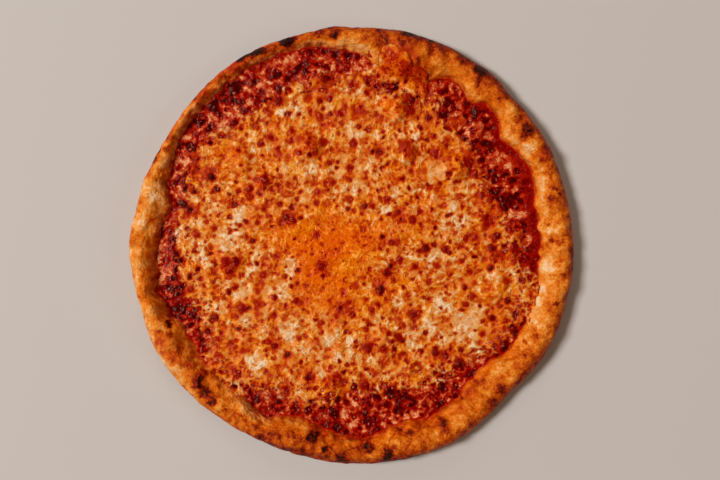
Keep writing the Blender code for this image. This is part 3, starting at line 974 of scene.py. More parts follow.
@dataclass(frozen=True)
class Shades:
    """Small helpers that build patterns in one material's tree, at true size.

    Args:
        tree: The material's node tree.
    """

    NOISE_SCALE = 600.0  # the Scale at which the lumps of a noise texture look 1 mm wide

    tree: bpy.types.NodeTree

    def mask(self, name: str) -> bpy.types.NodeSocket:
        """A point attribute of the mesh."""
        return add(self.tree, "ShaderNodeAttribute", attribute_name=name).outputs["Fac"]

    def place(self) -> bpy.types.NodeSocket:
        """The object's own coordinates, in metres."""
        return add(self.tree, "ShaderNodeTexCoord").outputs["Object"]

    def noise(self, width_mm: float, detail: float = 2.0, lift: float = 0.5) -> bpy.types.NodeSocket:
        """Noise of 0 to 1.

        Args:
            width_mm: The width of its lumps.
            detail: How many finer layers it has.
            lift: How strong each finer layer is.

        Returns:
            The noise.
        """
        scale = self.NOISE_SCALE / width_mm
        links = {"Vector": self.place(), "Scale": scale, "Detail": detail, "Roughness": lift}
        return add(self.tree, "ShaderNodeTexNoise", links).outputs["Fac"]

    def maths(self, operation: str, *values: object, clamp: bool = False) -> bpy.types.NodeSocket:
        """One arithmetic step.

        Args:
            operation: Its name.
            values: What it works on, numbers or sockets.
            clamp: Whether the result is held to 0 to 1.

        Returns:
            The result.
        """
        links = dict(enumerate(values))
        node = add(self.tree, "ShaderNodeMath", links, operation=operation, use_clamp=clamp)
        return node.outputs[0]

    def rise(self, value: object, low: float, high: float, top: float = 1.0) -> bpy.types.NodeSocket:
        """A smooth rise from 0.

        Args:
            value: The value to judge.
            low: Where the rise starts; more than high makes it a fall.
            high: Where it ends.
            top: What it rises to.

        Returns:
            The share.
        """
        links = {"Value": value, "From Min": low, "From Max": high, "To Min": 0.0, "To Max": top}
        node = add(self.tree, "ShaderNodeMapRange", links, interpolation_type="SMOOTHSTEP")
        return node.outputs[0]

    def ramp(self, value: object, *stops: tuple[float, str]) -> bpy.types.NodeSocket:
        """Colours along a value."""
        return add(self.tree, "ShaderNodeValToRGB", {0: value}, stops).outputs[0]

    def mix(self, share: object, first: object, second: object, how: str = "MIX") -> bpy.types.NodeSocket:
        """A mix of two colours.

        Args:
            share: How much of the second it has.
            first: A hex code or a socket.
            second: A hex code or a socket.
            how: How they are mixed.

        Returns:
            The colour.
        """
        colours = [linear_colour(c) if isinstance(c, str) else c for c in (first, second)]
        links = {0: share, 6: colours[0], 7: colours[1]}
        node = add(self.tree, "ShaderNodeMix", links, data_type="RGBA", blend_type=how)
        return node.outputs[2]

    def pits(self, pitch_mm: float, small: float, large: float) -> bpy.types.NodeSocket:
        """Round pits on the plane, one for each cell of a loose pattern.

        Args:
            pitch_mm: The mean distance between pits.
            small: The radius of the smallest, as a share of the pitch.
            large: The radius of the largest, as a share of the pitch.

        Returns:
            A mask that is 1 inside the pits.
        """
        bend = add(self.tree, "ShaderNodeTexNoise", {"Vector": self.place(), "Scale": 450.0, "Detail": 1.0})
        bent = add(
            self.tree,
            "ShaderNodeVectorMath",
            {0: bend.outputs["Color"], 1: (0.0009, 0.0009, 0.0), 2: self.place()},
            operation="MULTIPLY_ADD",
        )
        links = {"Vector": bent.outputs[0], "Scale": 1000.0 / pitch_mm}
        cells = add(self.tree, "ShaderNodeTexVoronoi", links, voronoi_dimensions="2D")
        chance = add(self.tree, "ShaderNodeSeparateColor", {0: cells.outputs["Color"]}).outputs[0]
        size = self.rise(chance, 0.25, 1.0, large - small)
        radius = self.maths("ADD", size, self.rise(chance, 0.2, 0.24, small))
        near = self.maths("DIVIDE", cells.outputs["Distance"], self.maths("MAXIMUM", radius, 0.001))
        return self.rise(near, 1.15, 0.6)

    def strands(self, width_mm: float, thin: float) -> bpy.types.NodeSocket:
        """Curved strands round loose cells, 1 along their middles.

        Args:
            width_mm: How far apart they lie.
            thin: How far from its middle a strand ends, on the scale of the noise.

        Returns:
            A mask that is 0 between the strands.
        """
        bend = add(self.tree, "ShaderNodeTexNoise", {"Vector": self.place(), "Scale": 210.0, "Detail": 1.0})
        bent = add(
            self.tree,
            "ShaderNodeVectorMath",
            {0: bend.outputs["Color"], 1: (0.004, 0.006, 0.0), 2: self.place()},
            operation="MULTIPLY_ADD",
        )
        scale = self.NOISE_SCALE / width_mm
        links = {"Vector": bent.outputs[0], "Scale": scale, "Detail": 1.5, "Roughness": 0.5}
        lines = add(self.tree, "ShaderNodeTexNoise", links).outputs["Fac"]
        return self.rise(self.maths("ABSOLUTE", self.maths("SUBTRACT", lines, 0.5)), thin, 0.0)

    def bump(self, height: object, depth_mm: float, strength: float = 1.0) -> bpy.types.NodeSocket:
        """A normal bent by a height.

        Args:
            height: The height, of 0 to 1.
            depth_mm: How many millimetres a height of 1 stands for.
            strength: How much of the bend is kept.

        Returns:
            The normal.
        """
        links = {"Strength": strength, "Distance": depth_mm * MM, "Height": height}
        return add(self.tree, "ShaderNodeBump", links).outputs[0]


def set_gloss(shader: bpy.types.Node, ior: float, specular: float, sheen: str) -> None:
    """Sets how a surface shines.

    Args:
        shader: The Principled shader.
        ior: The index of refraction.
        specular: How strong the shine is.
        sheen: Its tint, as a hex code.
    """
    shader.inputs["IOR"].default_value = ior
    shader.inputs["Specular IOR Level"].default_value = specular
    shader.inputs["Specular Tint"].default_value = linear_colour(sheen)


@dataclass(frozen=True)
class BakedCrust:
    """Baked wheat dough: dull and finely rough, browned where it stood out, oily at its inner edge, with
    painted light and shade in its browning.

    Args:
        ior: Its index of refraction.
        specular: How strongly it shines.
        sheen: The tint of the shine, as a hex code.
        grain_mm: The size of its grain.
    """

    ior: float = 1.45
    specular: float = 0.26
    sheen: str = "FFCA9E"
    grain_mm: float = 0.18

    def material(self) -> bpy.types.Material:
        """Builds it, with a pattern that follows the masks bake, glow and stain.

        Returns:
            The material.
        """
        material, tree, shader = new_material("baked wheat crust")
        shades = Shades(tree)
        mottle = shades.maths("MULTIPLY_ADD", shades.noise(5.0, 3.0, 0.6), 0.44, -0.22)
        speckle = shades.maths("MULTIPLY_ADD", shades.noise(1.0, 3.0, 0.75), 0.84, -0.42)
        bake_and_painted_light = shades.maths("ADD", shades.mask("bake_and_painted_light"), shades.maths("ADD", mottle, speckle), clamp=True)
        dough = shades.ramp(
            bake_and_painted_light,
            (0.0, "EECCA2"), (0.13, "ECAE6E"), (0.26, "E89236"), (0.4, "D87214"), (0.5, "C65A06"),
            (0.6, "B04000"), (0.7, "922600"), (0.8, "701000"), (0.9, "480C02"), (1.0, "1C0806"),
        )
        soaked = shades.ramp(bake_and_painted_light, (0.08, "F49C36"), (0.3, "EA7A10"), (0.5, "E06404"), (0.7, "C44600"))
        oily = shades.mix(shades.maths("MULTIPLY", shades.mask("glow"), 0.85), dough, soaked)
        sauce = shades.ramp(
            shades.noise(2.6, 3.0, 0.6),
            (0.3, "820400"), (0.5, "A41600"), (0.62, "C43C04"), (0.75, "DE7418"),
        )
        stained = shades.mix(shades.mask("stain"), oily, sauce)
        tree.links.new(stained, shader.inputs["Base Color"])
        dull = shades.maths("MULTIPLY_ADD", shades.mask("glow"), -0.24, 0.54)
        tree.links.new(dull, shader.inputs["Roughness"])
        rough = shades.maths("ADD", shades.noise(0.9, 4.0, 0.65), shades.noise(3.5, 2.0))
        tree.links.new(shades.bump(rough, self.grain_mm * 5.0, 1.0), shader.inputs["Normal"])
        set_gloss(shader, self.ior, self.specular, self.sheen)
        return material


@dataclass(frozen=True)
class BakedSauce:
    """Baked tomato sauce: dark red and wet, paler where it is pulpy.

    Args:
        ior: Its index of refraction.
        roughness: How dull it is.
        specular: How strongly it shines.
        sheen: The tint of the shine, as a hex code.
    """

    ior: float = 1.38
    roughness: float = 0.18
    specular: float = 0.24
    sheen: str = "FFC8B0"

    def material(self) -> bpy.types.Material:
        """Builds it, with a pattern that follows the masks tone and edge.

        Returns:
            The material.
        """
        material, tree, shader = new_material("baked tomato sauce")
        shades = Shades(tree)
        fine = shades.maths("MULTIPLY_ADD", shades.noise(2.6, 3.0, 0.6), 0.8, -0.4)
        crisp = shades.maths("MULTIPLY_ADD", shades.noise(0.8, 2.0, 0.7), 0.8, -0.44)
        value = shades.maths("ADD", shades.mask("tone"), shades.maths("ADD", fine, crisp), clamp=True)
        sauce = shades.ramp(
            value,
            (0.04, "3C0000"), (0.2, "640000"), (0.4, "860400"), (0.6, "A01400"),
            (0.78, "BA3A12"), (0.9, "CE6A3C"), (1.0, "E49C6C"),
        )
        sauce = shades.mix(shades.maths("MULTIPLY", shades.mask("edge"), 0.8), sauce, "B00800")
        tree.links.new(sauce, shader.inputs["Base Color"])
        pulp = shades.maths("MULTIPLY_ADD", shades.noise(0.9, 2.0), 0.5, shades.noise(2.4, 3.0, 0.6))
        tree.links.new(shades.bump(pulp, 0.9, 0.9), shader.inputs["Normal"])
        shader.inputs["Roughness"].default_value = self.roughness
        set_gloss(shader, self.ior, self.specular, self.sheen)
        return material


class CheeseTones(Enum):
    """The cheese's colours from its darkest tone to its palest, each for one state of it."""

    PLAIN = "840200 A61C00 BC3C00 CE5C00 DE7804 E68E16 EAA03A F4C488"
    REDDISH = "7E0200 A21600 BA2E00 CE4600 DE5C08 E67426 EC8A48 F4A874"
    CREAMY = "860600 A82202 BC4408 CC6A20 D98A40 DEA468 E4B68A EED0B0"
    OILY = "8E0400 AC1E00 C43A00 D44E00 DE5A00 E66800 EE7400 F48C2C"
    GOLDEN = "900600 B02600 C44600 D45E00 DF7000 E87E00 EE8E06 F4A43C"


@dataclass(frozen=True)
class MeltedCheeseFinish:
    """Melted mozzarella: cream to gold, orange where oil stands on it, red brown in its pits.

    Args:
        ior: Its index of refraction.
        specular: How strongly it shines.
        sheen: The tint of the shine, as a hex code.
        scatter: How much light goes through its surface, which softens its shadows.
        stops: The tones at which the colours of CheeseTones lie.
    """

    ior: float = 1.44
    specular: float = 0.29
    sheen: str = "FFC698"
    scatter: float = 0.1
    stops: tuple[float, ...] = (0.0, 0.1, 0.22, 0.4, 0.6, 0.78, 0.9, 1.0)

    def material(self) -> bpy.types.Material:
        """Builds it, with a pattern that follows the masks tone, curd, red, oil, pit and stain.

        Returns:
            The material.
        """
        material, tree, shader = new_material("melted mozzarella")
        shades = Shades(tree)
        fine = shades.maths("MULTIPLY_ADD", shades.noise(2.4, 3.0, 0.6), 0.6, -0.3)
        strands = shades.maths("MAXIMUM", shades.strands(4.6, 0.08), shades.strands(7.5, 0.05))
        strands = shades.maths("MULTIPLY", strands, shades.rise(shades.noise(16.0, 1.0), 0.25, 0.55))
        specks = shades.maths("MULTIPLY_ADD", shades.mask("oil"), 0.75, 0.25)
        fine_pits = shades.maths("MULTIPLY", shades.pits(2.9, 0.12, 0.3), specks)
        value = shades.maths("MULTIPLY_ADD", shades.mask("tone"), 0.78, fine)
        value = shades.maths("MULTIPLY_ADD", strands, 0.34, value)
        crisp = shades.maths("MULTIPLY_ADD", shades.noise(0.8, 2.0, 0.7), 0.5, -0.25)
        value = shades.maths("ADD", value, shades.maths("ADD", crisp, -0.02))
        value = shades.maths("MULTIPLY_ADD", fine_pits, -0.3, value, clamp=True)
        cheese = self.colour(shades, value, fine)
        tree.links.new(cheese, shader.inputs["Base Color"])
        wet = shades.maths("MULTIPLY_ADD", shades.mask("oil"), -0.12, 0.43)
        wet = shades.maths("SUBTRACT", wet, shades.rise(shades.noise(3.0, 2.0), 0.46, 0.64, 0.26))
        tree.links.new(wet, shader.inputs["Roughness"])
        relief = shades.maths("MULTIPLY_ADD", shades.noise(1.3, 3.0, 0.6), 0.5, fine)
        relief = shades.maths("SUBTRACT", relief, shades.maths("MULTIPLY", fine_pits, 0.5))
        relief = shades.maths("MULTIPLY_ADD", strands, 0.5, relief)
        tree.links.new(shades.bump(relief, 0.9, 0.9), shader.inputs["Normal"])
        set_gloss(shader, self.ior, self.specular, self.sheen)
        shader.inputs["Subsurface Weight"].default_value = self.scatter
        shader.inputs["Subsurface Radius"].default_value = (1.0, 0.45, 0.2)
        shader.inputs["Subsurface Scale"].default_value = 0.0015
        return material

    def colour(
        self, shades: Shades, value: bpy.types.NodeSocket, fine: bpy.types.NodeSocket
    ) -> bpy.types.NodeSocket:
        """The colour of a tone in each state of the cheese, laid over each other by the masks.

        Args:
            shades: The helpers of the material's tree.
            value: The tone, from 0, the darkest, to 1.
            fine: A fine pattern that makes the blisters uneven.

        Returns:
            The colour.
        """
        cheese, reddish, creamy, oily, golden = (
            shades.ramp(value, *zip(self.stops, tones.value.split())) for tones in CheeseTones
        )
        oily = shades.mix(shades.rise(shades.noise(24.0, 2.0), 0.42, 0.6, 0.8), oily, golden)
        flushed = shades.maths("MULTIPLY_ADD", shades.noise(4.0, 3.0, 0.6), 2.4, -1.2)
        curdled = shades.maths("MULTIPLY_ADD", shades.noise(2.8, 3.0, 0.65), 3.0, -1.5)
        cheese = shades.mix(shades.maths("ADD", shades.mask("red"), flushed, clamp=True), cheese, reddish)
        cheese = shades.mix(shades.maths("ADD", shades.mask("curd"), curdled, clamp=True), cheese, creamy)
        cheese = shades.mix(shades.mask("oil"), cheese, oily)
        cheese = shades.mix(shades.maths("MULTIPLY", shades.mask("stain"), 0.9), cheese, "9C1600")
        dark = shades.ramp(
            shades.maths("MULTIPLY_ADD", fine, 0.3, shades.mask("pit")),
            (0.15, "CC5008"), (0.4, "B42800"), (0.66, "960800"), (0.88, "680000"), (1.0, "380000"),
        )
        return shades.mix(shades.rise(shades.mask("pit"), 0.12, 0.6), cheese, dark)


@dataclass(frozen=True)
class PlainFinish:
    """A finish of one colour range for small scattered things.

    Args:
        name: What it really is.
        dark: Its darker colour, as a hex code.
        pale: Its paler colour, as a hex code.
        roughness: How dull it is.
    """

    name: str
    dark: str
    pale: str
    roughness: float

    def material(self) -> bpy.types.Material:
        """Builds it, mottled between its two colours.

        Returns:
            The material.
        """
        material, tree, shader = new_material(self.name)
        shades = Shades(tree)
        colour = shades.ramp(shades.noise(1.5, 2.0), (0.35, self.dark), (0.65, self.pale))
        tree.links.new(colour, shader.inputs["Base Color"])
        shader.inputs["Roughness"].default_value = self.roughness
        return material


# The pizza's pieces


@dataclass(frozen=True)
class RimPoints:
    """Points of the crust's skin and the rim's edges beside them.

    Args:
        x: Their places before they were swollen, in millimetres.
        y: The same.
        z: Their heights.
        radius: How far out they lie.
        azimuth: Their azimuths in degrees.
        inner: The rim's inner radius there.
        outer: The rim's outer radius there.
    """

    x: Array
    y: Array
    z: Array
    radius: Array
    azimuth: Array
    inner: Array
    outer: Array


@dataclass
class Crust:
    """The baked crust: a raised, uneven rim and a thin flat base, as one closed skin.

    Args:
        dough: Its form.
        noise: The noise that makes it uneven.
        steps: The number of points round it.
        inner_rows: The rows of points up the rim's inner slope.
        outer_rows: The rows from the crest to the widest place.
        curl_rows: The rows from there to the ground.
        top_shares: The rows of the hollow's floor, as shares of the rim's inner radius.
        base_shares: The rows of the underside, as shares of its radius.
        specks: The number of small browned or pale specks.
    """

    dough: Dough
    noise: Noise
    steps: int = 1320
    inner_rows: int = 30
    outer_rows: int = 18
    curl_rows: int = 11
    top_shares: tuple[float, ...] = (0.35, 0.8, 0.97)
    base_shares: tuple[float, ...] = (0.985, 0.8, 0.35)
    specks: int = 150

    def profile(self, azimuth: Array) -> tuple[Array, Array, Array, Array]:
        """The smooth skin in rows, from the hollow's floor over the rim to the underside.

        Args:
            azimuth: The azimuth of each point of a row, in degrees.

        Returns:
            The points' radii and heights, and how far the skin faces out and up there.
        """
        dough = self.dough
        inner, crest, outer = dough.radii(azimuth)
        high = RIM_HEIGHT.at(azimuth)
        rows = []
        for share in self.top_shares:
            rows.append((inner * share, np.full(self.steps, dough.FLOOR_TOP), 0.0, 0.0))
        for share in np.linspace(0.0, 1.0, self.inner_rows):
            tilt = math.cos(share * math.pi / 2.0)
            z = dough.slope_height(azimuth, np.full(self.steps, share))
            rows.append((blend(inner, crest, share), z, -0.7 * tilt, 1.0))
        for share in np.linspace(0.0, 1.0, self.outer_rows + 1)[1:]:
            turn = share * math.pi / 2.0
            r = blend(crest, outer, math.sin(turn))
            z = dough.WIDEST_AT + (high - dough.WIDEST_AT) * math.cos(turn)
            rows.append((r, z, math.sin(turn), math.cos(turn)))
        for share in np.linspace(0.0, 1.0, self.curl_rows + 1)[1:]:
            turn = share * math.pi / 2.0
            r = outer - dough.BOTTOM_CURL * (1.0 - math.cos(turn))
            z = dough.WIDEST_AT * (1.0 - math.sin(turn)) + 0.0 * r
            rows.append((r, z, math.cos(turn), -math.sin(turn)))
        for share in self.base_shares:
            rows.append(((outer - dough.BOTTOM_CURL) * share, np.zeros(self.steps), 0.0, 0.0))
        radius = np.array([row[0] for row in rows])
        height = np.array([row[1] + 0.0 * azimuth for row in rows])
        out = np.array([[row[2]] * self.steps for row in rows])
        up = np.array([[row[3]] * self.steps for row in rows])
        return radius, height, out, up

    def build(self) -> bpy.types.Object:
        """Builds and dresses the crust.

        Returns:
            The piece.
        """
        dough = self.dough
        azimuth = np.arange(self.steps) * 360.0 / self.steps
        inner, _, outer = dough.radii(azimuth)
        radius, height, out, up = self.profile(azimuth)
        turn = np.radians(np.broadcast_to(azimuth, radius.shape))
        x, y = radius * np.cos(turn), radius * np.sin(turn)
        height = height + dough.on_rim(height) * dough.large_relief(x, y)
        foot = dough.FOOT * (up > 0.5) * (out < 0.0)
        free = np.hypot(out, up) * smoothstep(0.0, 2.5, height) * smoothstep(-0.5, 2.0, height - foot)
        swell = self.swelling(x, y, height, out, up)
        length = np.maximum(np.hypot(out, up), 0.001)
        radius = radius + free * swell * out / length
        height = height + free * swell * np.maximum(up / length, -0.3)
        points = np.stack([radius * np.cos(turn), radius * np.sin(turn), np.maximum(height, 0.0)], axis=-1)
        middle = np.array([[0.0, 0.0, dough.FLOOR_TOP], [0.0, 0.0, 0.0]])
        points = np.vstack([points.reshape(-1, 3), middle])
        masks = self.masks(RimPoints(x, y, np.maximum(height, 0.0), radius, azimuth, inner, outer))
        masks = {name: np.append(values.ravel(), [0.5, 0.5]) for name, values in masks.items()}
        finish = BakedCrust().material()
        piece = mesh_piece("crust", points, skin_faces(len(radius), self.steps), masks, finish)
        return hand_over(piece, Slot.CRUST, "crust")

    def swelling(self, x: Array, y: Array, height: Array, out: Array, up: Array) -> Array:
        """How far lumps, blisters and crags raise the dough, or sink it, square to its skin.

        Args:
            x: The points' places in millimetres.
            y: The same.
            height: Their heights.
            out: How far the skin faces out there.
            up: How far it faces up.

        Returns:
            The distances in millimetres.
        """
        swell = 2.5 * np.abs(self.noise.at(15.0, x, y, height)) + 0.7 * self.noise.at(7.0, x, y, height)
        swell += 0.46 * self.noise.at(2.6, x, y, height) + 0.24 * self.noise.at(1.5, x, y, height) - 0.6
        for spot in RIM_BLISTERS:
            swell = swell + spot.amount * dome(np.hypot(x - spot.x, y - spot.y), spot.radius) * (up > 0.2)
        crags = paint(RIM_BLISTERS, x, y, 0.3) * (up > 0.2)
        swell = swell + crags * (0.9 * np.abs(self.noise.at(2.4, x, y, height)) - 0.2)
        swell = blend(swell, -0.6, paint(TOPPED_BUBBLE, x, y, 0.5))
        return swell * (1.0 - 0.6 * smoothstep(0.5, 0.95, out))

    def browning(self, at: RimPoints, bent_x: Array, bent_y: Array) -> Array:
        """How browned the crust is, without its underside, with painted light and shade added: a paler
        outer side where the light falls, a darker outer edge away from it, darker creases, paler lumps and
        paler spots on the right inner slope.

        Args:
            at: The points.
            bent_x: Their places, bent so that spots get uneven edges.
            bent_y: The same.

        Returns:
            The browning, mostly of 0 to 1.
        """
        noise, azimuth = self.noise, at.azimuth
        x, y, z, radius, inner, outer = at.x, at.y, at.z, at.radius, at.inner, at.outer
        across = (radius - inner) / (outer - inner)
        bake_and_painted_light = blend(RIM_BAKE_INNER.at(azimuth), RIM_BAKE_TOP.at(azimuth), smoothstep(0.15, 0.5, across))
        bake_and_painted_light = blend(bake_and_painted_light, RIM_BAKE_AND_PAINTED_LIGHT_OUTER.at(azimuth), smoothstep(0.5, 0.85, across))
        bake_and_painted_light = bake_and_painted_light + 0.2 * noise.layered(13.0, x, y, z, layers=3) + 0.15 * noise.at(4.5, x, y, z)
        drop = np.maximum(0.5 * RIM_HEIGHT.at(azimuth) - z, 0.0)
        patchy = 0.95 + 0.85 * noise.at(2.1, x, y)
        for spot in RIM_BROWNING_AND_PAINTED_LIGHT:
            near = np.sqrt((bent_x - spot.x) ** 2 + (bent_y - spot.y) ** 2 + drop**2) / spot.radius
            bake_and_painted_light = bake_and_painted_light + spot.amount * patchy * smoothstep(1.3, 0.3, near)
        # Painted shade: the outer edge is darkened, partly as browning and most on the side away from the
        # key light.
        painted_shade_side = 0.55 + 0.45 * np.cos(np.radians(azimuth + 20.0))
        bake_and_painted_light = bake_and_painted_light + 0.14 * painted_shade_side * smoothstep(9.0, 1.0, outer - radius + 2.0 * noise.at(7.0, x, y))
        rng = np.random.default_rng(SPECK_SEED)
        for _ in range(self.specks):
            turn, share = rng.uniform(0.0, 360.0), rng.random()
            reach = float(blend(RIM_INNER.at(turn) + 3.0, RIM_OUTER.at(turn), share))
            place = reach * math.cos(math.radians(turn)), reach * math.sin(math.radians(turn))
            size, amount = rng.uniform(1.2, 4.0), rng.uniform(-0.12, 0.3)
            near = np.sqrt((bent_x - place[0]) ** 2 + (bent_y - place[1]) ** 2 + drop**2) / size
            bake_and_painted_light = bake_and_painted_light + amount * smoothstep(1.3, 0.4, near)
        # Painted shade in the creases of the rim's relief, and paler painted light on its lumps.
        crease = np.abs(noise.at(15.0, x, y, z))
        folded = smoothstep(0.0, 0.6, noise.at(30.0, x + 40.0, y))
        bake_and_painted_light = bake_and_painted_light + 0.22 * folded * smoothstep(0.08, 0.0, crease) - 0.08 * smoothstep(0.25, 0.6, crease)
        return bake_and_painted_light

    def masks(self, at: RimPoints) -> dict[str, Array]:
        """How browned, stained and oily the crust is, with painted light and shade in its browning.

        Args:
            at: The points.

        Returns:
            The masks bake, stain and glow.
        """
        noise, azimuth = self.noise, at.azimuth
        x, y, radius, inner = at.x, at.y, at.radius, at.inner
        bent_x = x + 1.5 * noise.at(4.5, x, y) + 0.9 * noise.at(1.9, x, y)
        bent_y = y + 1.5 * noise.at(4.5, y, x) + 0.9 * noise.at(1.9, y, x)
        under = smoothstep(4.0, 0.5, at.z)
        below = 0.52 + 0.2 * noise.layered(13.0, x, y, layers=3)
        bake_and_painted_light = blend(self.browning(at, bent_x, bent_y), below, under)
        near = radius - inner + 1.5 * noise.at(9.0, x, y) + 0.8 * noise.at(3.2, x, y)
        creep = smoothstep(1.2, 0.1, near / SAUCE_CREEP.at(azimuth))
        blotch = 0.75 + 0.7 * noise.at(5.0, x + 30.0, y) + 0.4 * noise.at(2.3, x, y + 30.0)
        blotch = np.clip(blotch, 0.0, 1.0)
        stain = np.maximum(smoothstep(1.6, -0.4, near), blotch * creep)
        stain = np.maximum(stain, 0.85 * blotch * paint(RIM_STAINS, bent_x, bent_y))
        glow = np.maximum(smoothstep(1.1, 0.2, near / OIL_CREEP.at(azimuth)), paint(RIM_STAINS, x, y, 0.8))
        glow = glow * smoothstep(0.75, 0.5, bake_and_painted_light)
        stain = stain * smoothstep(1.0, 0.78, bake_and_painted_light)
        on_top = 1.0 - under
        return {
            "bake_and_painted_light": np.clip(bake_and_painted_light, 0.0, 1.0),
            "stain": np.clip(stain, 0.0, 0.9) * on_top,
            "glow": glow * on_top,
        }


@dataclass
class TomatoSauce:
    """The baked sauce under the cheese, which shows as a dark ring inside the rim.

    Args:
        topping: The fields that it is read from.
        steps: The number of points round it.
        hidden_rows: The rows of points under the cheese, as shares of the sauce's radius.
        fine_rows: The rows in the part that shows.
        shore: How far it reaches under the rim's inner edge, in millimetres.
        hidden_top: Its height where the cheese hides it, in millimetres.
        bottom: The height of its lower side, in millimetres.
    """

    topping: Topping
    steps: int = 1300
    hidden_rows: tuple[float, ...] = (0.25, 0.5, 0.62, 0.68)
    fine_rows: int = 62
    shore: float = 2.0
    hidden_top: float = 5.6
    bottom: float = 4.8

    def build(self) -> bpy.types.Object:
        """Builds and dresses the sauce.

        Returns:
            The piece.
        """
        azimuth = np.arange(self.steps) * 360.0 / self.steps
        inner = self.topping.dough.radii(azimuth)[0]
        turn = np.radians(azimuth)
        shares = [*self.hidden_rows, *np.linspace(0.7, 1.0, self.fine_rows)]
        reach = inner + self.shore
        radius = np.array([reach * share for share in shares])
        x, y = radius * np.cos(turn), radius * np.sin(turn)
        topping, raster = self.topping, self.topping.raster
        z = raster.sample(topping.sauce, x, y)
        z[: len(self.hidden_rows)] = self.hidden_top
        lower = np.array([reach, reach * 0.6])
        level = np.full_like(lower, self.bottom)
        under = np.stack([lower * np.cos(turn), lower * np.sin(turn), level], axis=-1)
        grid = np.concatenate([np.stack([x, y, z], axis=-1), under])
        centre = float(raster.sample(topping.sauce, 0.0, 0.0))
        middle = np.array([[0.0, 0.0, centre], [0.0, 0.0, self.bottom]])
        points = np.vstack([grid.reshape(-1, 3), middle])
        tone = raster.sample(topping.sauce_tone, x, y)
        calm = raster.sample(topping.calm, x, y)
        edge = smoothstep(4.5, 1.5, reach - radius) * calm
        low = np.zeros((2, self.steps))
        masks = {
            "tone": np.concatenate([blend(tone, 0.35, 0.8 * calm), low]),
            "edge": np.concatenate([edge, low]),
        }
        masks = {name: np.append(values.ravel(), [0.0, 0.0]) for name, values in masks.items()}
        finish = BakedSauce().material()
        piece = mesh_piece("tomato_sauce", points, skin_faces(len(grid), self.steps), masks, finish)
        return hand_over(piece, Slot.SAUCE, "tomato_sauce")


@dataclass
class MeltedCheese:
    """The melted cheese: a thin blistered layer with a ragged edge that sinks into the sauce.

    Args:
        topping: The fields that it is read from.
        cells: The number of quads along each side of its square grid, which is bent round.
        bottom: The height of its lower side, in millimetres.
        past_edge: How far its skin goes past the edge of the cheese, in millimetres.
        past_rim: How far it may go past the rim's inner edge, in millimetres.
        climb: How much further it goes on the topped bubble, in millimetres.
        climb_at: The bubble's azimuth in degrees.
        climb_width: Half the width of the bubble's part, in degrees.
    """

    topping: Topping
    cells: int = 308
    bottom: float = 5.3
    past_edge: float = 18.0
    past_rim: float = 2.0
    climb: float = 24.0
    climb_at: float = 75.0
    climb_width: float = 20.0

    def disc(self) -> tuple[Array, Array]:
        """A square grid bent to a disc, so that its quads are of about one size.

        Returns:
            The x and y of its points, within a radius of 1.
        """
        line = np.linspace(-1.0, 1.0, self.cells + 1)
        u, v = np.meshgrid(line, line)
        with np.errstate(divide="ignore", invalid="ignore"):
            wide = np.abs(u) > np.abs(v)
            turn = np.where(wide, math.pi / 4.0 * v / u, math.pi / 2.0 - math.pi / 4.0 * u / v)
            share = np.where(wide, u, v)
        turn = np.nan_to_num(turn)
        return share * np.cos(turn), share * np.sin(turn)

    def build(self) -> bpy.types.Object:
        """Builds and dresses the cheese.

        Returns:
            The piece.
        """
        topping, raster = self.topping, self.topping.raster
        unit_x, unit_y = self.disc()
        azimuth = np.degrees(np.arctan2(unit_y, unit_x)) % 360.0
        reach = self.reach(azimuth)
        x, y = unit_x * reach, unit_y * reach
        z = raster.sample(topping.cheese_top, x, y)
        top = np.stack([x, y, z], axis=-1).reshape(-1, 3)
        side = self.cells + 1
        row, column = np.meshgrid(np.arange(self.cells), np.arange(self.cells), indexing="ij")
        here = row * side + column
        quads = np.stack([here, here + 1, here + side + 1, here + side], axis=-1).reshape(-1, 4)
        ring = np.concatenate([
            np.arange(self.cells),
            np.arange(self.cells) * side + self.cells,
            self.cells * side + np.arange(self.cells, 0, -1),
            np.arange(self.cells, 0, -1) * side,
        ])
        skirt = top[ring].copy()
        skirt[:, 2] = self.bottom
        start = len(top)
        follow = np.roll(np.arange(len(ring)), -1)
        wall = np.stack([ring, start + np.arange(len(ring)), start + follow, ring[follow]], axis=-1)
        middle = start + len(ring)
        floor = fan_faces(start, len(ring), middle, False)
        points = np.vstack([top, skirt, [[0.0, 0.0, self.bottom]]])
        fields = {
            "tone": topping.tone, "oil": topping.oil, "pit": topping.pit, "stain": topping.stain,
            "curd": topping.curd, "red": topping.red,
        }
        masks = {}
        for name, values in fields.items():
            shown = raster.sample(values, x, y).ravel()
            masks[name] = np.concatenate([shown, shown[ring], [0.0]])
        finish = MeltedCheeseFinish().material()
        piece = mesh_piece("melted_cheese", points, [quads, wall, floor], masks, finish)
        return hand_over(piece, Slot.CHEESE, "melted_cheese")

    def reach(self, azimuth: Array) -> Array:
        """How far out the cheese's skin goes.

        Args:
            azimuth: Azimuths in degrees.

        Returns:
            The radius at each azimuth, in millimetres.
        """
        inner = self.topping.dough.radii(azimuth)[0]
        bubble = self.climb * dome(np.abs(azimuth - self.climb_at), self.climb_width)
        return np.minimum(inner + self.past_rim, CHEESE_EDGE.at(azimuth) + self.past_edge) + bubble


# Small things scattered by Geometry Nodes


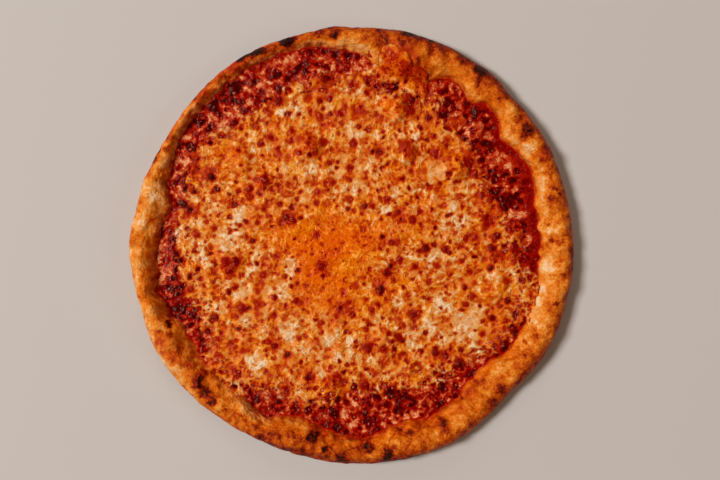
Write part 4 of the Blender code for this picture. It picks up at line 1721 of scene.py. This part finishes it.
@dataclass
class Scatter:
    """Small uneven lumps set on chosen points by a node tree, realised as one plain mesh.

    Args:
        name: The piece's name.
        slot: The material slot meant for it.
        material: Its material.
        places: The points in millimetres.
        sizes: For each point, its half sizes along its own axes, in millimetres.
        turns: For each point, its turn about the vertical, in radians.
        roughness: How uneven a lump is, in millimetres.
        subdivisions: How finely a lump is divided.
        seed: The seed of the unevenness.
    """

    name: str
    slot: Slot
    material: bpy.types.Material
    places: Array
    sizes: Array
    turns: Array
    roughness: float = 0.3
    subdivisions: int = 2
    seed: float = 3.0

    def tree(self) -> bpy.types.NodeTree:
        """The node tree that makes a lump at each point and ends in a plain mesh.

        Returns:
            The tree.
        """
        tree = bpy.data.node_groups.new(f"{self.name} scatter", "GeometryNodeTree")
        sockets = tree.interface
        sockets.new_socket("Points", in_out="INPUT", socket_type="NodeSocketGeometry")
        sockets.new_socket("Detail", in_out="INPUT", socket_type="NodeSocketInt")
        sockets.new_socket("Unevenness", in_out="INPUT", socket_type="NodeSocketFloat")
        sockets.new_socket("Seed", in_out="INPUT", socket_type="NodeSocketFloat")
        sockets.new_socket("Finish", in_out="INPUT", socket_type="NodeSocketMaterial")
        sockets.new_socket("Lumps", in_out="OUTPUT", socket_type="NodeSocketGeometry")
        given = add(tree, "NodeGroupInput").outputs
        ball = add(tree, "GeometryNodeMeshIcoSphere", {"Radius": MM, "Subdivisions": given["Detail"]})
        size = add(tree, "GeometryNodeInputNamedAttribute", {"Name": "size"}, data_type="FLOAT_VECTOR")
        turn = add(tree, "GeometryNodeInputNamedAttribute", {"Name": "turn"}, data_type="FLOAT_VECTOR")
        links = {
            "Points": given["Points"], "Instance": ball.outputs[0],
            "Rotation": turn.outputs[0], "Scale": size.outputs[0],
        }
        placed = add(tree, "GeometryNodeInstanceOnPoints", links)
        real = add(tree, "GeometryNodeRealizeInstances", {0: placed.outputs[0]})
        where = add(tree, "GeometryNodeInputPosition")
        links = {"Vector": where.outputs[0], "W": given["Seed"], "Scale": 1300.0, "Detail": 1.0}
        bent = add(tree, "ShaderNodeTexNoise", links, noise_dimensions="4D")
        links = {0: bent.outputs["Color"], 1: (0.5, 0.5, 0.5)}
        centred = add(tree, "ShaderNodeVectorMath", links, operation="SUBTRACT")
        links = {0: centred.outputs[0], "Scale": given["Unevenness"]}
        amount = add(tree, "ShaderNodeVectorMath", links, operation="SCALE")
        links = {"Geometry": real.outputs[0], "Offset": amount.outputs[0]}
        moved = add(tree, "GeometryNodeSetPosition", links)
        smooth = add(tree, "GeometryNodeSetShadeSmooth", {"Geometry": moved.outputs[0]})
        links = {"Geometry": smooth.outputs[0], "Material": given["Finish"]}
        last = add(tree, "GeometryNodeSetMaterial", links)
        add(tree, "NodeGroupOutput", {0: last.outputs[0]})
        return tree

    def build(self) -> bpy.types.Object:
        """Runs the tree and keeps its result.

        Returns:
            The piece.
        """
        carrier = bpy.data.meshes.new(f"{self.name} points")
        carrier.from_pydata((self.places * MM).tolist(), [], [])
        for label, values in (("size", self.sizes), ("turn", self.turns)):
            attribute = carrier.attributes.new(label, "FLOAT_VECTOR", "POINT")
            attribute.data.foreach_set("vector", values.astype(np.float32).ravel())
        source = bpy.data.objects.new(f"{self.name} points", carrier)
        bpy.context.scene.collection.objects.link(source)
        modifier = source.modifiers.new("scatter", "NODES")
        tree = self.tree()
        values = {
            "Detail": self.subdivisions,
            "Unevenness": self.roughness * MM,
            "Seed": self.seed,
            "Finish": self.material,
        }
        for item in tree.interface.items_tree:
            if item.in_out == "INPUT" and item.name in values:
                values[item.identifier] = values.pop(item.name)
        modifier.node_group = tree
        for identifier, value in values.items():
            modifier[identifier] = value
        graph = bpy.context.evaluated_depsgraph_get()
        mesh = bpy.data.meshes.new_from_object(source.evaluated_get(graph))
        mesh.name = self.name
        bpy.data.objects.remove(source)
        piece = bpy.data.objects.new(self.name, mesh)
        bpy.context.scene.collection.objects.link(piece)
        return hand_over(piece, self.slot)


@dataclass
class Scraps:
    """The small things that lie on the pizza: bits of cheese and of tomato pulp, and herb flecks.

    Args:
        topping: The fields that give the heights.
        rng: The source of random draws.
        cheese_bits: The number of bits of cheese.
        pulp_bits: The number of bits of pulp.
        herb_flecks: The number of herb flecks.
        herbs_within: The radius of the part that has herb flecks, in millimetres.
    """

    topping: Topping
    rng: np.random.Generator = field(default_factory=lambda: np.random.default_rng(SCRAP_SEED))
    cheese_bits: int = 300
    pulp_bits: int = 700
    herb_flecks: int = 300
    herbs_within: float = 148.0

    def surface(self, x: Array, y: Array) -> Array:
        """The height of whatever lies uppermost.

        Args:
            x: Places in millimetres.
            y: Places in millimetres.

        Returns:
            The height at each place.
        """
        topping, raster = self.topping, self.topping.raster
        sauce = np.where(topping.radius < topping.inner + 0.3, topping.sauce, topping.slope)
        return raster.sample(np.maximum(sauce, topping.cheese_top), x, y)

    def ring_places(self, count: int, crowding: float) -> tuple[Array, Array]:
        """Random places on the bare sauce.

        Args:
            count: How many.
            crowding: How much they crowd to the cheese; at 1 they are spread evenly.

        Returns:
            Their x and y in millimetres.
        """
        azimuth = self.rng.uniform(0.0, 360.0, count)
        inner = self.topping.dough.radii(azimuth)[0]
        start = CHEESE_EDGE.at(azimuth) - 8.0
        radius = start + (inner - 6.0 - start) * self.rng.random(count) ** crowding
        turn = np.radians(azimuth)
        return radius * np.cos(turn), radius * np.sin(turn)

    def scatter(
        self,
        name: str,
        slot: Slot,
        finish: PlainFinish,
        x: Array,
        y: Array,
        half: tuple[float, float],
        flat: float,
    ) -> bpy.types.Object:
        """Lays lumps at places.

        Args:
            name: The piece's name.
            slot: Its slot.
            finish: Its finish.
            x: Places in millimetres.
            y: Places in millimetres.
            half: The smallest and largest half size, in millimetres.
            flat: The height of a lump as a share of its width.

        Returns:
            The piece.
        """
        count = len(x)
        size = half[0] + (half[1] - half[0]) * self.rng.random(count) ** 2
        shape = self.rng.uniform(0.7, 1.5, count)
        sizes = np.stack([size * shape, size / shape**0.5, size * flat], axis=-1)
        turns = np.stack([np.zeros(count), np.zeros(count), self.rng.uniform(0.0, 6.3, count)], axis=-1)
        z = self.surface(x, y) + 0.15 * size * flat
        places = np.stack([x, y, z], axis=-1)
        return Scatter(name, slot, finish.material(), places, sizes, turns, 0.9 * half[0]).build()

    def build(self) -> list[bpy.types.Object]:
        """Builds them all.

        Returns:
            The pieces.
        """
        # Shreds that browned on the hot sauce: dull warm dots along the edge of the cheese
        x, y = self.ring_places(self.cheese_bits, 1.2)
        beads = PlainFinish("melted cheese bits", "9C3414", "C0683A", 0.35)
        pieces = [self.scatter("cheese_bits", Slot.CHEESE, beads, x, y, (0.35, 1.25), 0.45)]
        # Wet bits of pulp, which give the sauce its lumps and small glints
        x, y = self.ring_places(self.pulp_bits, 1.0)
        pulp = PlainFinish("tomato pulp bits", "7E0C04", "B8341A", 0.25)
        pieces.append(self.scatter("pulp_bits", Slot.SAUCE, pulp, x, y, (0.4, 1.2), 0.5))
        # Dried and nearly black, so that they show as fine dark flecks
        radius = self.herbs_within * np.sqrt(self.rng.random(self.herb_flecks))
        turn = self.rng.uniform(0.0, 2.0 * math.pi, self.herb_flecks)
        herbs = PlainFinish("dried oregano flecks", "241208", "4A2A10", 0.7)
        x, y = radius * np.cos(turn), radius * np.sin(turn)
        pieces.append(self.scatter("herb_flecks", Slot.CHEESE, herbs, x, y, (0.22, 0.5), 0.3))
        return pieces


# Floor, light and camera


@dataclass
class Studio:
    """A plain pale floor, soft light from the left and a camera straight above.

    Args:
        camera_height: The camera's height, in metres.
        camera_shift: Its place beside the middle of the pizza, in metres.
        lens_mm: Its focal length.
        sensor_mm: The width of its sensor.
        floor_size: The length of the floor's side, in metres.
        glow_colour: The colour of the even light from all round, as a hex code.
        glow: The strength of that light.
    """

    camera_height: float = 0.8217
    camera_shift: tuple[float, float] = (0.0065, 0.0037)
    lens_mm: float = 50.0
    sensor_mm: float = 36.0
    floor_size: float = 60.0
    glow_colour: str = "E0B890"
    glow: float = 0.16

    def floor(self) -> None:
        """A pale matt table top, dull enough that it mirrors nothing and only takes the shadow."""
        bpy.ops.mesh.primitive_plane_add(size=self.floor_size, location=(0.0, 0.0, 0.0))
        floor = bpy.context.object
        floor.name = "floor"
        material, _, shader = new_material("pale matt table")
        shader.inputs["Base Color"].default_value = linear_colour("C2BEBC")
        shader.inputs["Roughness"].default_value = 0.85
        shader.inputs["Specular IOR Level"].default_value = 0.1
        floor.data.materials.append(material)

    def light(
        self, name: str, place: tuple[float, float, float], size: float, power: float, colour: str
    ) -> bpy.types.Object:
        """An area light that points at the pizza.

        Args:
            name: Its name.
            place: Where it is, in metres.
            size: The length of its side, in metres.
            power: Its power in watts.
            colour: Its colour, as a hex code.

        Returns:
            The light.
        """
        lamp = bpy.data.lights.new(name, "AREA")
        lamp.size = size
        lamp.energy = power
        lamp.color = linear_colour(colour)[:3]
        holder = bpy.data.objects.new(name, lamp)
        holder.location = place
        holder.rotation_euler = (-Vector(place)).to_track_quat("-Z", "Y").to_euler()
        bpy.context.scene.collection.objects.link(holder)
        return holder

    def camera(self) -> None:
        """A camera that looks straight down."""
        lens = bpy.data.cameras.new("camera")
        lens.lens = self.lens_mm
        lens.sensor_width = self.sensor_mm
        holder = bpy.data.objects.new("camera", lens)
        holder.location = (*self.camera_shift, self.camera_height)
        bpy.context.scene.collection.objects.link(holder)
        bpy.context.scene.camera = holder

    def build(self) -> None:
        """Sets everything up."""
        scene = bpy.context.scene
        scene.view_settings.view_transform = "Standard"
        world = bpy.data.worlds.new("studio")
        world.use_nodes = True
        background = world.node_tree.nodes["Background"]
        background.inputs["Color"].default_value = linear_colour(self.glow_colour)
        background.inputs["Strength"].default_value = self.glow
        scene.world = world
        self.floor()
        self.light("key light", (-3.7, 0.5, 4.7), 1.5, 345.0, "FFFBF6")
        self.light("right fill light", (4.0, -1.5, 2.6), 2.5, 40.0, "FFE6CC").visible_glossy = False
        self.light("far fill light", (-0.5, 4.2, 2.6), 2.5, 36.0, "FFF4E8").visible_glossy = False
        self.camera()


def main() -> None:
    """Builds the pizza, its floor, its light and its camera."""
    logging.basicConfig(level=logging.INFO, format="%(name)s: %(message)s")
    noise = Noise(NOISE_SEED)
    dough = Dough(noise)
    topping = Topping(dough, noise)
    Crust(dough, noise).build()
    TomatoSauce(topping).build()
    MeltedCheese(topping).build()
    Scraps(topping).build()
    Studio().build()


if __name__ == "__main__":
    main()
